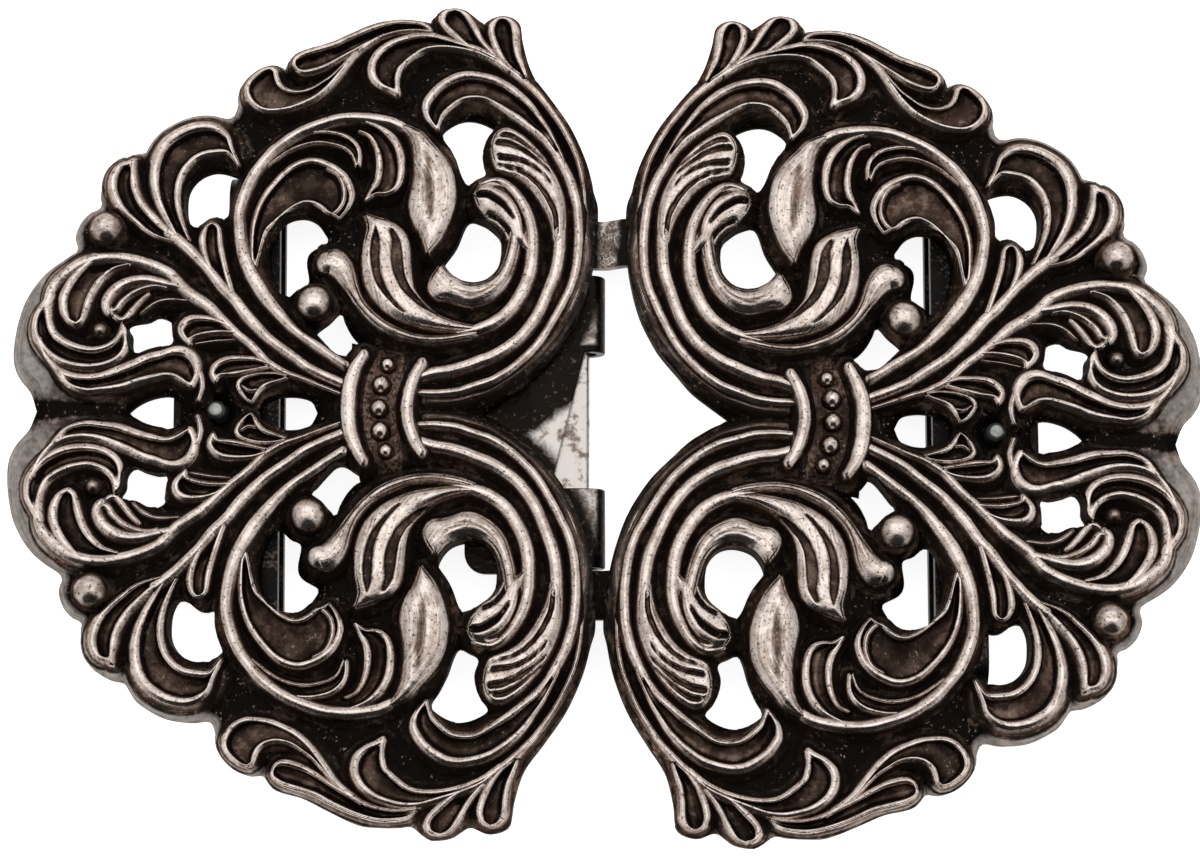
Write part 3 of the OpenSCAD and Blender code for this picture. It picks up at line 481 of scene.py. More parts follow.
# Plain ribs: a row, its half widths, its height and how polished it is
ribs = {
    "outer": (
        [(-2.6, 1), (-3.3, 0.98), (-4, 1), (-5, 1.12), (-5.8, 1.38), (-6.5, 1.6), (-7.1, 1.8), (-7.7, 2.12),
         (-8.3, 2.5), (-8.8, 2.9), (-9.3, 3.35), (-9.8, 3.85), (-10.2, 4.35), (-10.6, 4.95), (-10.95, 5.55),
         (-11.3, 6.15), (-11.6, 6.75), (-12, 7.5), (-12.3, 8.4), (-12.47, 9.3), (-12.55, 10.3),
         (-12.57, 11.2), (-12.5, 12.1), (-12.42, 12.9), (-12.22, 13.7), (-11.9, 14.6), (-11.5, 15.4),
         (-11.1, 16.1)],
        (0.14, 0.15, 0.15, 0.14, 0.14, 0.16, 0.17, 0.18, 0.18), 1.12, 1), 
    "fan": (
        [(-2.6, 2), (-3.2, 2.2), (-3.8, 2.33), (-4.5, 2.42), (-5.5, 2.7), (-6.3, 3), (-7.1, 3.3),
         (-7.7, 3.62), (-8.3, 4.02), (-8.9, 4.52), (-9.4, 5.1), (-9.8, 5.65), (-10.15, 6.3), (-10.5, 7.1),
         (-10.8, 7.85), (-11.05, 8.5), (-11.22, 9.2), (-11.33, 10.2), (-11.36, 11.2)],
        (0.2, 0.24, 0.24, 0.22, 0.22, 0.24, 0.24), 1.2, 1), 
    "edge": (
        [(-12.95, 12.6), (-12.9, 13.2), (-12.85, 13.8), (-12.75, 14.6), (-12.6, 15.3), (-12.4, 15.9),
         (-12.1, 16.6), (-11.7, 17.4), (-11.3, 18.1), (-10.8, 18.8), (-10.2, 19.6), (-9.6, 20.25),
         (-9, 20.8), (-8.5, 21.25), (-7.7, 21.85)],
        (0.05, 0.06, 0.06, 0.07, 0.08, 0.11, 0.14), (0.5, 1, 1.1, 1.1, 1.1, 1.1), 1), 
    "edgeLow": (
        [(-3, 0.52), (-4, 0.5), (-5, 0.58), (-6, 0.85), (-7, 1.15), (-8, 1.75), (-8.8, 2.3), (-9.5, 2.9),
         (-10.2, 3.6), (-10.8, 4.35), (-11.35, 5.1), (-11.8, 5.9), (-12.2, 6.8), (-12.6, 7.8),
         (-12.85, 8.8), (-12.98, 9.8), (-13, 10.8), (-12.98, 11.8), (-12.9, 12.8)],
        (0.16, 0.12, 0.08, 0.08, 0.1, 0.13, 0.2, 0.24, 0.2, 0.1), (0.92, 0.92, 0.92, 0.92, 0.92, 0.92, 0.85,
        0.4), 0.42), 
    "edgeWire": (
        [(-11.5, 5.2), (-12, 6.2), (-12.4, 7.1), (-12.72, 7.9), (-13, 8.8)],
        (0.03, 0.05, 0.05, 0.04), (0.5, 1.02, 1.02, 0.5), 0.8), 
    "ringLip": (
        [(3.6, 15.1), (3, 14.8), (2.65, 14.3), (2.48, 13.65), (2.55, 13), (2.85, 12.5), (3.2, 12.22)],
        (0.06, 0.08, 0.08, 0.08), 1.1, 1), 
    "stem": (
        [(2.1, 1.5), (2.7, 1.75), (3.3, 2), (4, 2.32), (4.6, 2.62), (5.2, 3.05), (5.8, 3.48), (6.4, 3.88),
         (7, 4.32), (7.5, 4.78), (8, 5.28), (8.4, 5.7), (8.8, 6.18), (9.2, 6.7), (9.6, 7.1), (10.1, 7.55),
         (10.6, 8.15), (11.1, 8.75), (11.6, 9.25), (12.1, 9.75), (12.6, 10.2), (13.1, 10.6), (13.6, 10.95)],
        (0.18, 0.18, 0.18, 0.19, 0.25, 0.21, 0.16, 0.16, 0.17), 1.2, 1), 
    "volute": (
        [(2.2, 0.85), (2.7, 1.02), (3.3, 1.25), (4, 1.5), (4.6, 1.75), (5.2, 1.95), (5.8, 2.15),
         (6.4, 2.45), (7, 2.82), (7.5, 3.3), (8, 3.8), (8.5, 4.22), (9, 4.6), (9.5, 5.05), (10, 5.5),
         (10.5, 5.98), (11, 6.4), (11.5, 6.72), (12, 7.05), (12.5, 7.42), (13, 7.95), (13.4, 8.35),
         (13.9, 8.62), (14.5, 8.87), (15.2, 9.1), (16, 9.28), (16.9, 9.4), (17.7, 9.38), (18.4, 9.25),
         (19.1, 9), (19.7, 8.62), (20.3, 8.15), (20.75, 7.65), (21.03, 7.1), (21.15, 6.5), (21.2, 6)],
        (0.06, 0.08, 0.13, 0.15, 0.15, 0.2, 0.17, 0.16, 0.15, 0.16, 0.15, 0.08), (1.15, 1.15, 1.15, 1.15,
        1.15, 1.15, 1.15, 1.15, 1.15, 1.05), 1), 
    "shell1": (
        [(12.5, 7.4), (12.9, 7.6), (13.5, 7.72), (14.3, 7.9), (15, 8), (15.7, 7.95), (16.3, 7.75),
         (16.85, 7.4), (17.25, 6.95), (17.45, 6.5), (17.4, 6.1), (17.15, 5.85)],
        (0.12, 0.13, 0.13, 0.15, 0.16, 0.1), 1.12, 1), 
    "shell2": (
        [(13.6, 7.5), (14.3, 7.62), (15, 7.5), (15.6, 7.25), (16.1, 6.92), (16.5, 6.55), (16.75, 6.15),
         (17, 6.03), (17.3, 6.22)],
        (0.05, 0.07, 0.07, 0.08, 0.07), 1, 1), 
    "shell3": (
        [(14.8, 7.1), (15.2, 6.75), (15.6, 6.3), (15.95, 5.85), (16.25, 5.52), (16.6, 5.5), (16.9, 5.7)],
        (0.05, 0.07, 0.08, 0.07), 0.95, 1), 
    "shell4": (
        [(11.9, 6.72), (12.6, 6.75), (13.3, 6.8), (14, 6.7), (14.6, 6.4), (15.2, 5.9)],
        (0.05, 0.06, 0.06, 0.04), 0.85, 0.7), 
    "curlWire": (
        [(11.35, 0.5), (11.2, 1), (11.15, 1.5), (11.3, 2.1), (11.6, 2.75), (12, 3.2)],
        (0.05, 0.09, 0.1, 0.08), 1.05, 0.95), 
    "sprigWire": (
        [(9, 4.3), (9.7, 4.25), (10.4, 4.2), (11.1, 4.1), (11.7, 4)],
        (0.04, 0.06, 0.06), 0.85, 0.7), 
    "sprigBrace": (
        [(7.2, 1.35), (7.7, 1.15), (8.2, 1.1), (8.65, 1.4)],
        (0.05, 0.07, 0.05), 0.95, 0.9), 
    "trumpetEdge": (
        [(1.2, 6), (1.9, 6.7), (2.45, 7.35), (2.9, 8)],
        (0.03, 0.05, 0.03), 0.95, 0.8), 
    "sideWire": (
        [(9.2, 15.5), (9.25, 16.1), (9.3, 16.8), (9.55, 17.5)],
        (0.05, 0.1, 0.1, 0.05), 0.55, 0.25), 
    "eye": (
        [(-6.3, 14.15), (-6.8, 14.32), (-7.3, 14.38), (-7.8, 14.2), (-8.3, 13.8), (-8.7, 13.3),
         (-9.05, 12.75), (-9.32, 12.15), (-9.5, 11.5), (-9.6, 10.8), (-9.62, 10), (-9.58, 9.2),
         (-9.43, 8.4), (-9.18, 7.7), (-8.87, 7.1), (-8.45, 6.45), (-7.95, 5.9), (-7.4, 5.5), (-6.85, 5.2),
         (-6.2, 4.98), (-5.6, 4.85), (-4.9, 4.72)],
        (0.12, 0.16, 0.2, 0.25, 0.27, 0.27, 0.27, 0.25, 0.12), (1.2, 1.4, 1.4, 1.4, 1.4, 1.4, 1.4, 1.2), 1),
        
    "ring": (
        [(-2.35, 16.75), (-2.05, 17.15), (-1.7, 17.5), (-1.2, 17.85), (-0.6, 18.13), (0, 18.27), (1, 18.4),
         (2, 18.42), (3, 18.3), (4, 18), (5, 17.62), (5.8, 17.2), (6.5, 16.7), (7.1, 16.2), (7.7, 15.5),
         (8.2, 14.85), (8.6, 14.1), (8.9, 13.3), (9.1, 12.6), (9.17, 11.9), (9.1, 11.2), (8.98, 10.4),
         (8.78, 9.6), (8.5, 8.9), (8.15, 8.2), (7.72, 7.5), (7.25, 6.85), (6.75, 6.25), (6.2, 5.65),
         (5.6, 5.05), (5, 4.55), (4.4, 4.15), (3.8, 3.75), (3.2, 3.35), (2.7, 3.02), (2.1, 2.65)],
        (0.1, 0.2, 0.22, 0.2, 0.2, 0.2, 0.2, 0.22, 0.2, 0.2, 0.27, 0.33, 0.24, 0.17, 0.18, 0.18), (0.9, 1.4,
        1.4, 1.4, 1.4, 1.4), 1), 
}

# Broad faces: two edges from foot to head, the height and the stripes that are cut or rubbed into them,
# each with its row, half widths, depth, how brown it is and perhaps how soft its edge is
faces = {
    "fanFace": (
        [(-11.38, 9.3), (-11.48, 9.9), (-11.55, 10.6), (-11.62, 11.6), (-11.6, 12.6), (-11.38, 13.6),
         (-10.98, 14.6), (-10.38, 15.55), (-9.7, 16.45), (-8.9, 17.2), (-8.1, 17.66), (-7.65, 17.7),
         (-7.27, 17.45), (-7.05, 17.05), (-6.98, 16.6)],
        [(-11.3, 9.3), (-11.24, 9.85), (-11.1, 10.4), (-10.9, 11.5), (-10.6, 12.3), (-10.15, 13.1),
         (-9.65, 13.8), (-9.05, 14.38), (-8.35, 14.8), (-7.7, 15.03), (-7.3, 15.25), (-7.1, 15.7),
         (-7, 16.1), (-6.97, 16.5)],
        (0.75, 1.15, 1.2, 1.2, 1.2, 1.2, 1.2, 1.2),
        [([(-10.35, 15.7), (-9.6, 16.35), (-8.8, 16.95), (-8.1, 17.28), (-7.65, 17.3)],
          (0.07, 0.13, 0.15), 0.3, 0.8),
         ([(-10.6, 15.1), (-9.8, 15.78), (-9, 16.3), (-8.1, 16.68), (-7.35, 16.78)],
          (0.06, 0.14, 0.17), 0.34, 0.8),
         ([(-10.7, 14.3), (-10.2, 14.85), (-9.4, 15.38), (-8.6, 15.68), (-7.5, 15.82)],
          (0.05, 0.1, 0.15), 0.36, 0.6),
         ([(-11.15, 11.2), (-11.05, 12.2), (-10.7, 13.05), (-10.2, 13.82), (-9.6, 14.45), (-8.9, 14.92),
           (-8.2, 15.15), (-7.5, 15.3)],
          (0.12, 0.15, 0.13, 0.09, 0.06), 0.36, 0.7)]),
    "eyeFace": (
        [(-9.5, 9.9), (-9.36, 10.4), (-9.2, 11), (-9.05, 12), (-8.75, 12.8), (-8.35, 13.4), (-7.75, 13.9),
         (-7, 14.22), (-6.4, 14.12), (-6.08, 13.85), (-5.95, 13.5)],
        [(-9.4, 9.9), (-9, 10.25), (-8.5, 10.4), (-8.2, 10.6), (-8, 11), (-7.62, 11.5), (-7.15, 11.85),
         (-6.65, 12.2), (-6.17, 12.75), (-5.96, 13.3)],
        1.32,
        [([(-9.08, 11.1), (-9, 11.9), (-8.75, 12.6), (-8.45, 13.15), (-8, 13.62), (-7.6, 13.85),
           (-7.15, 13.98)],
          (0.08, 0.12, 0.1), 0.3, 0.8),
         ([(-8.35, 12), (-7.9, 12.6), (-7.3, 13.1), (-6.7, 13.4), (-6.2, 13.42)],
          (0.1, 0.2, 0.2), 0.45, 0.2),
         ([(-8.28, 10.6), (-8.12, 11.1), (-7.75, 11.6), (-7.3, 11.95), (-6.9, 12.12)],
          (0.1, 0.14, 0.13), 0.42, 0.3)]),
    "great": (
        [(-1.1, 18.02), (-1.85, 17.72), (-2.5, 17.3), (-3, 16.75), (-3.55, 16.15), (-4.05, 15.5),
         (-4.4, 14.75), (-4.56, 14), (-4.6, 13.2), (-4.5, 12.5), (-4.3, 11.8), (-4, 11.1), (-3.65, 10.5),
         (-3.3, 10.1), (-3, 9.75)],
        [(-1.05, 17.92), (-1.5, 17.5), (-1.85, 16.95), (-2.02, 16.4), (-2.1, 15.6), (-2.12, 14.7),
         (-1.98, 13.8), (-1.78, 12.95), (-1.85, 12.2), (-2.15, 11.5), (-2.55, 10.9), (-2.78, 10.3),
         (-2.95, 9.8)],
        (1, 1.5, 1.55, 1.55, 1.55, 1.55, 1.55, 1.55),
        [([(-2.75, 16.2), (-2.9, 15.5), (-2.93, 14.7), (-2.93, 14), (-3, 13.2), (-3.1, 12.4), (-3.25, 11.6)],
          (0.02, 0.18, 0.25, 0.28, 0.27, 0.17, 0.04), 0.11, 0.85, 0.75)]),
    "eyeBud": (
        [(-8.4, 11.6), (-8.25, 10.8), (-8.12, 10.1), (-7.97, 9.5), (-7.75, 8.9), (-7.4, 8.38), (-6.9, 7.98),
         (-6.3, 7.75), (-5.7, 7.7), (-5.1, 7.88), (-4.6, 8.22), (-4.2, 8.6), (-3.9, 8.9)],
        [(-8.72, 11.6), (-8.76, 10.6), (-8.68, 9.9), (-8.52, 9.2), (-8.3, 8.5), (-8, 7.85), (-7.5, 7.25),
         (-6.9, 6.8), (-6.2, 6.5), (-5.5, 6.45), (-4.8, 6.68), (-4.15, 6.85), (-3.6, 6.9), (-3.22, 7.2),
         (-3.1, 7.7), (-3.3, 8.25), (-3.7, 8.8)],
        1.35,
        [([(-7.6, 8.2), (-7, 7.55), (-6.3, 7.15), (-5.6, 7.05), (-5, 7.3), (-4.4, 7.6)],
          (0.03, 0.08, 0.12, 0.14, 0.08), 0.06, 0.6)]),
    "trumpet": (
        [(-7, 5.16), (-6.4, 4.94), (-5.8, 4.75), (-4.5, 4.5), (-3.3, 4.42), (-2.2, 4.55), (-1.2, 4.9),
         (-0.3, 5.35), (0.4, 5.9), (1, 6.5), (1.35, 7.1), (1.6, 7.8), (1.76, 8.5), (2, 9.1), (2.4, 9.6),
         (2.9, 9.85), (3.3, 9.75)],
        [(-7, 5.08), (-6.4, 4.78), (-5.8, 4.5), (-4.5, 4.2), (-3.3, 4.1), (-2.2, 4.2), (-1.2, 4.45),
         (-0.3, 4.85), (0.4, 5.35), (1, 5.9), (1.5, 6.5), (1.95, 7.1), (2.4, 7.65), (2.85, 8.15),
         (3.3, 8.5), (3.6, 8.85)],
        (1, 1.35, 1.35, 1.35, 1.35, 1.35, 1.35, 1.35),
        [([(1.5, 7), (1.9, 7.9), (2.2, 8.7)],
          (0.04, 0.1, 0.04), 0.04, 0.5)]),
    "tulip": (
        [(-7, 5.36), (-6.3, 5.16), (-5.6, 5.16), (-4.7, 5.35), (-3.9, 5.65), (-3.2, 6.05), (-2.6, 6.55),
         (-2.17, 7.15), (-1.95, 7.9), (-1.85, 8.6), (-1.78, 9.4), (-1.72, 10.1), (-1.52, 10.8),
         (-1.1, 11.28), (-0.4, 11.68), (0.3, 11.9), (0.95, 12.08)],
        [(-7, 5.28), (-6.3, 4.98), (-5.6, 4.86), (-4.3, 4.92), (-3.2, 5.05), (-2.2, 5.25), (-1.3, 5.6),
         (-0.45, 6.05), (0.3, 6.75), (0.82, 7.6), (1.07, 8.5), (1.12, 9.5), (1.05, 10.3), (0.88, 11.1),
         (0.92, 11.6), (1.05, 12)],
        (1, 1.4, 1.4, 1.4, 1.4, 1.4, 1.4, 1.4),
        [([(-0.62, 11.1), (-0.92, 10.5), (-1, 9.8), (-1.05, 9), (-1.25, 8.2), (-1.6, 7.5), (-2.1, 6.95),
           (-2.7, 6.42), (-3.5, 5.95)],
          (0.1, 0.25, 0.34, 0.35, 0.28, 0.24, 0.18, 0.12, 0.05), 0.34, 0.85),
         ([(0.35, 11.2), (0.36, 10.5), (0.38, 9.7), (0.35, 9), (0.2, 8.3), (-0.1, 7.6), (-0.5, 7),
           (-1, 6.4), (-1.5, 5.98)],
          (0.05, 0.24, 0.29, 0.27, 0.24, 0.2, 0.15, 0.11, 0.04), 0.34, 0.85)]),
}

beads = [(4.2, 6.6, 1.28), (17.6, 11.2, 1.22), (17.75, 4.85, 0.6), (3.4, 9.1, 0.98)]  # x, y, radius

# A flank from the crest to the foot: millimetres beyond the crest, share of the height, silver, brown
flankRows = [(0, 0.935, 1, 0), (0.05, 0.915, 0.9, 0), (0.14, 0.85, 0.68, 0.1), (0.27, 0.70, 0.42, 0.25),
             (0.43, 0.48, 0.25, 0.4), (0.6, 0.25, 0.15, 0.45), (0.78, 0.06, 0.09, 0.35),
             (0.95, -0.12, 0.04, 0.2), (1.05, -0.7, 0.02, 0.1)]
flank = dict(zip(("beyond", "height", "silver", "brown"), np.array(flankRows).T))
crest = [(0.75, 0.965), (0.45, 0.99), (0, 1)]  # share of the half width, height
# A leaf's trough in the same way: a steep wall at the outer rim, painted black as the shadow the rim casts, a
# slow one at the inner rim
steepShadowWall = [(0, 0.95, 1, 0), (0.05, 0.87, 0.75, 0), (0.11, 0.7, 0.2, 0.05), (0.18, 0.48, 0.03, 0.1),
             (0.28, 0.3, 0.04, 0.7)]
slowWall = [(0, 0.95, 1, 0), (0.05, 0.9, 0.8, 0.1), (0.13, 0.78, 0.5, 0.4), (0.25, 0.58, 0.25, 0.9),
            (0.42, 0.38, 0.1, 1)]
trough = (0.26, 0.06, 1)  # height, silver, brown

relief = {
    "step": 0.19, "capRows": 4, "faceColumns": 0.11, "merge": 0.004,  # how fine the grids are
    "root": 0.8,  # how deep the foot goes into the web
    "leafHigh": 1.15, "faceShine": 0.94, "dome": 0.17, "stripeEdge": 0.16,
    "fullTrough": 0.55, "fullDome": 1.2,  # gaps between two rims at which a trough or dome is full
    "broader": 0.48, "broadFrom": 8.5, "broadOver": 8,  # towards the volutes the rims are rubbed broader
    "beadMiddle": 0.38, "beadHigh": 0.6,  # share of a bead's height at its widest, height beyond its radius
    "wallSilver": 0.15,  # what is left of the silver where a flank ends in a wall
}


def smoothRow(row, step, closed=False):
    # an even row of places on a smooth line through the drawn ones
    places = np.array(row, float)
    if closed:
        places = np.vstack([places[-1], places, places[0], places[1]])
    else:
        places = np.vstack([2 * places[0] - places[1], places, 2 * places[-1] - places[-2]])
    fine = []
    for a, b, c, d in zip(places, places[1:], places[2:], places[3:]):
        t = np.linspace(0, 1, 12, endpoint=False)[:, None]
        fine.append(0.5 * (2 * b + (c - a) * t + (2 * a - 5 * b + 4 * c - d) * t ** 2
                           + (3 * b - a - 3 * c + d) * t ** 3))
    fine = np.vstack(fine + [fine[0][:1] if closed else places[-2:-1]])
    far = np.concatenate([[0], np.cumsum(np.linalg.norm(np.diff(fine, axis=0), axis=1))])
    even = np.linspace(0, far[-1], max(3, int(round(far[-1] / step)) + 1))
    line = np.stack([np.interp(even, far, column) for column in fine.T], axis=1)
    return line[:-1] if closed else line


def evenly(values, count):
    # a short table spread over a whole row
    values = np.atleast_2d(np.array(values, float).T)
    spots = np.linspace(0, values.shape[1] - 1, count)
    return np.stack([np.interp(spots, np.arange(values.shape[1]), column) for column in values], axis=1)


def padded(row, count):
    return np.concatenate([np.repeat(row[:1], count, 0), row, np.repeat(row[-1:], count, 0)])


def eased(share):
    share = np.clip(share, 0, 1)
    return share * share * (3 - 2 * share)


def turned(angle):
    return np.stack([np.cos(angle), np.sin(angle)], axis=-1)


def placesOf(piece):
    return np.array([vertex.co[:] for vertex in piece.data.vertices])


def setPlaces(piece, places):
    piece.data.vertices.foreach_set("co", places.ravel())
    piece.data.update()


def copyOf(source, name):
    piece = source.copy()
    piece.data = source.data.copy()
    piece.name = name
    bpy.context.collection.objects.link(piece)
    return piece


def selectOnly(*pieces):
    bpy.ops.object.select_all(action="DESELECT")
    for piece in pieces:
        piece.select_set(True)
    bpy.context.view_layer.objects.active = pieces[0]


def joinAll(name, pieces):
    selectOnly(*pieces)
    bpy.ops.object.join()
    bpy.context.object.name = name
    return bpy.context.object


def mergeDoubles(threshold, outward=True):
    # used in edit mode
    bpy.ops.mesh.select_all(action="SELECT")
    bpy.ops.mesh.remove_doubles(threshold=threshold)
    if outward:
        bpy.ops.mesh.select_all(action="SELECT")
        bpy.ops.mesh.normals_make_consistent(inside=False)


def setFinish(piece, values, grain, stipple=0):
    # silver, brown, slope and stipple of each vertex, and how far it lies along and across its rib
    paint = piece.data.attributes.new("finish", "FLOAT_COLOR", "POINT")
    paint.data.foreach_set("color", np.c_[values, np.full(len(values), stipple)].astype(np.float32).ravel())
    lay = piece.data.attributes.new("grain", "FLOAT_VECTOR", "POINT")
    lay.data.foreach_set("vector", np.asarray(grain, np.float32).ravel())


# The pierced web

web = {
    # width and rise of each inset
    "slopes": [(0.16, 0.3), (0.2, 0.24), (0.24, 0.14), (0.2, 0.06), (0.02, 0.04), (0.05, 0.0)],
    "foot": 0.52, "edgeStep": 0.3, "cutStep": 0.25, "rivetAt": 10.6, "rivetRadius": 0.8,
}


def bothHalves(row, step):
    # a loop that crosses the midline: the drawn half and its mirror image
    half = smoothRow(row, step)
    return np.vstack([half, half[-2:0:-1] * (1, -1)]) * clasp["stretch"]


outline = bothHalves(edgeLine, web["edgeStep"])
cutLoops = [smoothRow(cut, web["cutStep"], closed=True) * clasp["stretch"] for cut in cuts.values()]
midLoops = [bothHalves(cut, web["cutStep"]) for cut in midCuts.values()]
rivetLoop = (turned(np.linspace(0, 2 * math.pi, 24, endpoint=False)) * web["rivetRadius"]
             + (web["rivetAt"], 0))


def insideLoop(places, loop):
    x, y = places.T
    inside = np.zeros(len(x), bool)
    for (x0, y0), (x1, y1) in zip(loop, np.roll(loop, -1, axis=0)):
        if y0 != y1:
            inside ^= ((y0 > y) != (y1 > y)) & (x < (x1 - x0) * (y - y0) / (y1 - y0) + x0)
    return inside


def nearestOnLoop(places, loop):
    run = np.roll(loop, -1, axis=0) - loop
    along = ((places[:, None] - loop) * run).sum(axis=2) / (run ** 2).sum(axis=1)
    spots = loop + np.clip(along, 0, 1)[:, :, None] * run
    away = ((places[:, None] - spots) ** 2).sum(axis=2)
    return spots[np.arange(len(places)), away.argmin(axis=1)]


def awayFromEdge(places):
    return np.linalg.norm(places[:, :2] - nearestOnLoop(places[:, :2], outline), axis=1)


def keepOnWeb(places, crests):
    # a flank that would hang over a cut or past the edge is drawn back towards its crest, to end in a wall
    places, moved = places.copy(), np.zeros(len(places), bool)
    for loop, within in [(loop, False) for loop in cutLoops + midLoops] + [(outline, True)]:
        # the share of the way from crest to place at which a place first leaves the web
        first = np.full(len(places), 2.0)
        close = (places > loop.min(axis=0) - 1.3) & (places < loop.max(axis=0) + 1.3)
        near = np.flatnonzero(close.all(axis=1) | within)
        for share in (1, 0.8, 0.6, 0.4, 0.2):
            spots = crests[near] + (places[near] - crests[near]) * share
            first[near[insideLoop(spots, loop) != within]] = share
        over = np.flatnonzero(first < 1.5)
        if not len(over):
            continue
        moved[over] = True
        start, run = crests[over], places[over] - crests[over]
        low, high = np.zeros(len(over)), first[over]
        for _ in range(10):
            middle = (low + high) / 2
            outside = insideLoop(start + run * middle[:, None], loop) != within
            low, high = np.where(outside, low, middle), np.where(outside, middle, high)
        # a crest that is itself off the web lets its place go to the nearest spot on the loop
        adrift = (insideLoop(start, loop) != within)[:, None]
        places[over] = np.where(adrift, nearestOnLoop(places[over], loop), start + run * low[:, None])
    return places, moved


edge = {
    "grey": ((20.4, 21.8), (0.55, 2.4)),  # the grey band's width by x: broad only round the volute
    "collarGrey": ((-7, 4), (0.35, 1)), "midlineGrey": ((0.25, 0.9, 2.6), (0, 0.5, 1)),  # by x and by y
    "brown": ((0.3, 0.8, 1.6, 2.6), (0, 1, 1, 0)), "brownFrom": 18,  # beside the notch, by y
}


def edgeGrey(places):
    # how much of the rubbed outer slope shows; the notch and the big scrolls by the collar stay dark
    x, y = places[:, 0], np.abs(places[:, 1])
    return (np.clip(1.5 - awayFromEdge(places) / np.interp(x, *edge["grey"]), 0, 1)
            * np.interp(x, *edge["collarGrey"]) * np.interp(y, *edge["midlineGrey"]))


def greyEdges(piece):
    # flanks that run down to the edge are rubbed grey like the edge itself
    places = placesOf(piece)
    paint = piece.data.attributes["finish"]
    values = np.zeros(len(places) * 4, np.float32)
    paint.data.foreach_get("color", values)
    values = values.reshape(-1, 4)
    dark = np.clip(1.4 - values[:, 0] * 2.2, 0, 1) * (values[:, 1] < 0.45)
    values[:, 2] = edgeGrey(places) * dark
    # beside the midline at the volutes they are mottled brown
    x, y = places[:, 0], places[:, 1]
    notch = np.clip((x - 16) / 1.5, 0, 1) * np.clip((y - 0.3) / 0.25, 0, 1) * np.clip((1.7 - y) / 0.3, 0, 1)
    values[:, 1] = np.maximum(values[:, 1], notch * dark * 0.75)
    values[:, 2] = np.maximum(values[:, 2], notch * dark * 0.5)
    paint.data.foreach_set("color", values.ravel())


def makeWeb():
    curve = bpy.data.curves.new("web", "CURVE")
    curve.dimensions = "2D"
    curve.fill_mode = "BOTH"
    for loop in [outline, rivetLoop] + midLoops + cutLoops + [loop * (1, -1) for loop in cutLoops]:
        spline = curve.splines.new("POLY")
        spline.points.add(len(loop) - 1)
        for point, (x, y) in zip(spline.points, loop):
            point.co = (x, y, 0, 1)
        spline.use_cyclic_u = True
    flat = bpy.data.objects.new("web", curve)
    bpy.context.collection.objects.link(flat)
    selectOnly(flat)
    bpy.ops.object.convert(target="MESH")
    piece = bpy.context.object
    bpy.ops.object.mode_set(mode="EDIT")
    mergeDoubles(0.001)
    bpy.ops.mesh.extrude_region_move(TRANSFORM_OT_translate={"value": (0, 0, web["foot"])})
    for width, lift in web["slopes"]:
        bpy.ops.mesh.inset(thickness=width, depth=0, use_even_offset=False, use_boundary=True)
        bpy.ops.transform.translate(value=(0, 0, lift))
    # the first filling no longer fits between the inset loops, so the ground is filled anew
    bpy.ops.mesh.delete(type="FACE")
    bpy.ops.mesh.select_mode(type="EDGE")
    bpy.ops.mesh.select_all(action="DESELECT")
    bpy.ops.mesh.select_non_manifold(extend=False, use_wire=False, use_multi_face=False,
                                     use_non_contiguous=False, use_verts=False)
    bpy.ops.mesh.fill(use_beauty=True)
    bpy.ops.mesh.select_mode(type="VERT")
    bpy.ops.mesh.select_all(action="SELECT")
    bpy.ops.mesh.normals_make_consistent(inside=False)
    bpy.ops.object.mode_set(mode="OBJECT")

    places = placesOf(piece)
    x, y, z = places.T
    slope = edgeGrey(places)
    slope[(z > z.max() - 0.03) & (x < 20.5)] = 0  # the ground beyond the slopes stays dark
    # mottled brown beside the notch between the volutes
    brown = 0.08 + 0.55 * (x > edge["brownFrom"]) * np.interp(np.abs(y), *edge["brown"])
    places[:, 2] += clasp["backZ"]
    setPlaces(piece, places)
    # the grain follows the slopes only, so that the long faces of the ground stay smooth
    away = np.minimum(awayFromEdge(places), 1.2)
    setFinish(piece, np.stack([x * 0, brown, slope], axis=1), np.stack([x + y, away + z, x * 0], axis=1))
    return piece


# Ribs, leaves and faces, each a grid of columns that stands in the web, and the beads


def drawnLine(row):
    return smoothRow(row, relief["step"])


def rimOf(row, wide, count):
    line = evenly(drawnLine(row), count) * clasp["stretch"]
    beyond = line[:, 0] / clasp["stretch"][0] - relief["broadFrom"]
    broad = 1 + relief["broader"] * np.clip(beyond / relief["broadOver"], 0, 1)
    along = np.gradient(line, axis=0)
    angle = np.arctan2(along[:, 1], along[:, 0])
    return {"line": line, "wide": evenly(wide, count)[:, 0] * broad, "angle": angle}


def onFlank(name, far):
    return np.interp(far, flank["beyond"], flank[name])


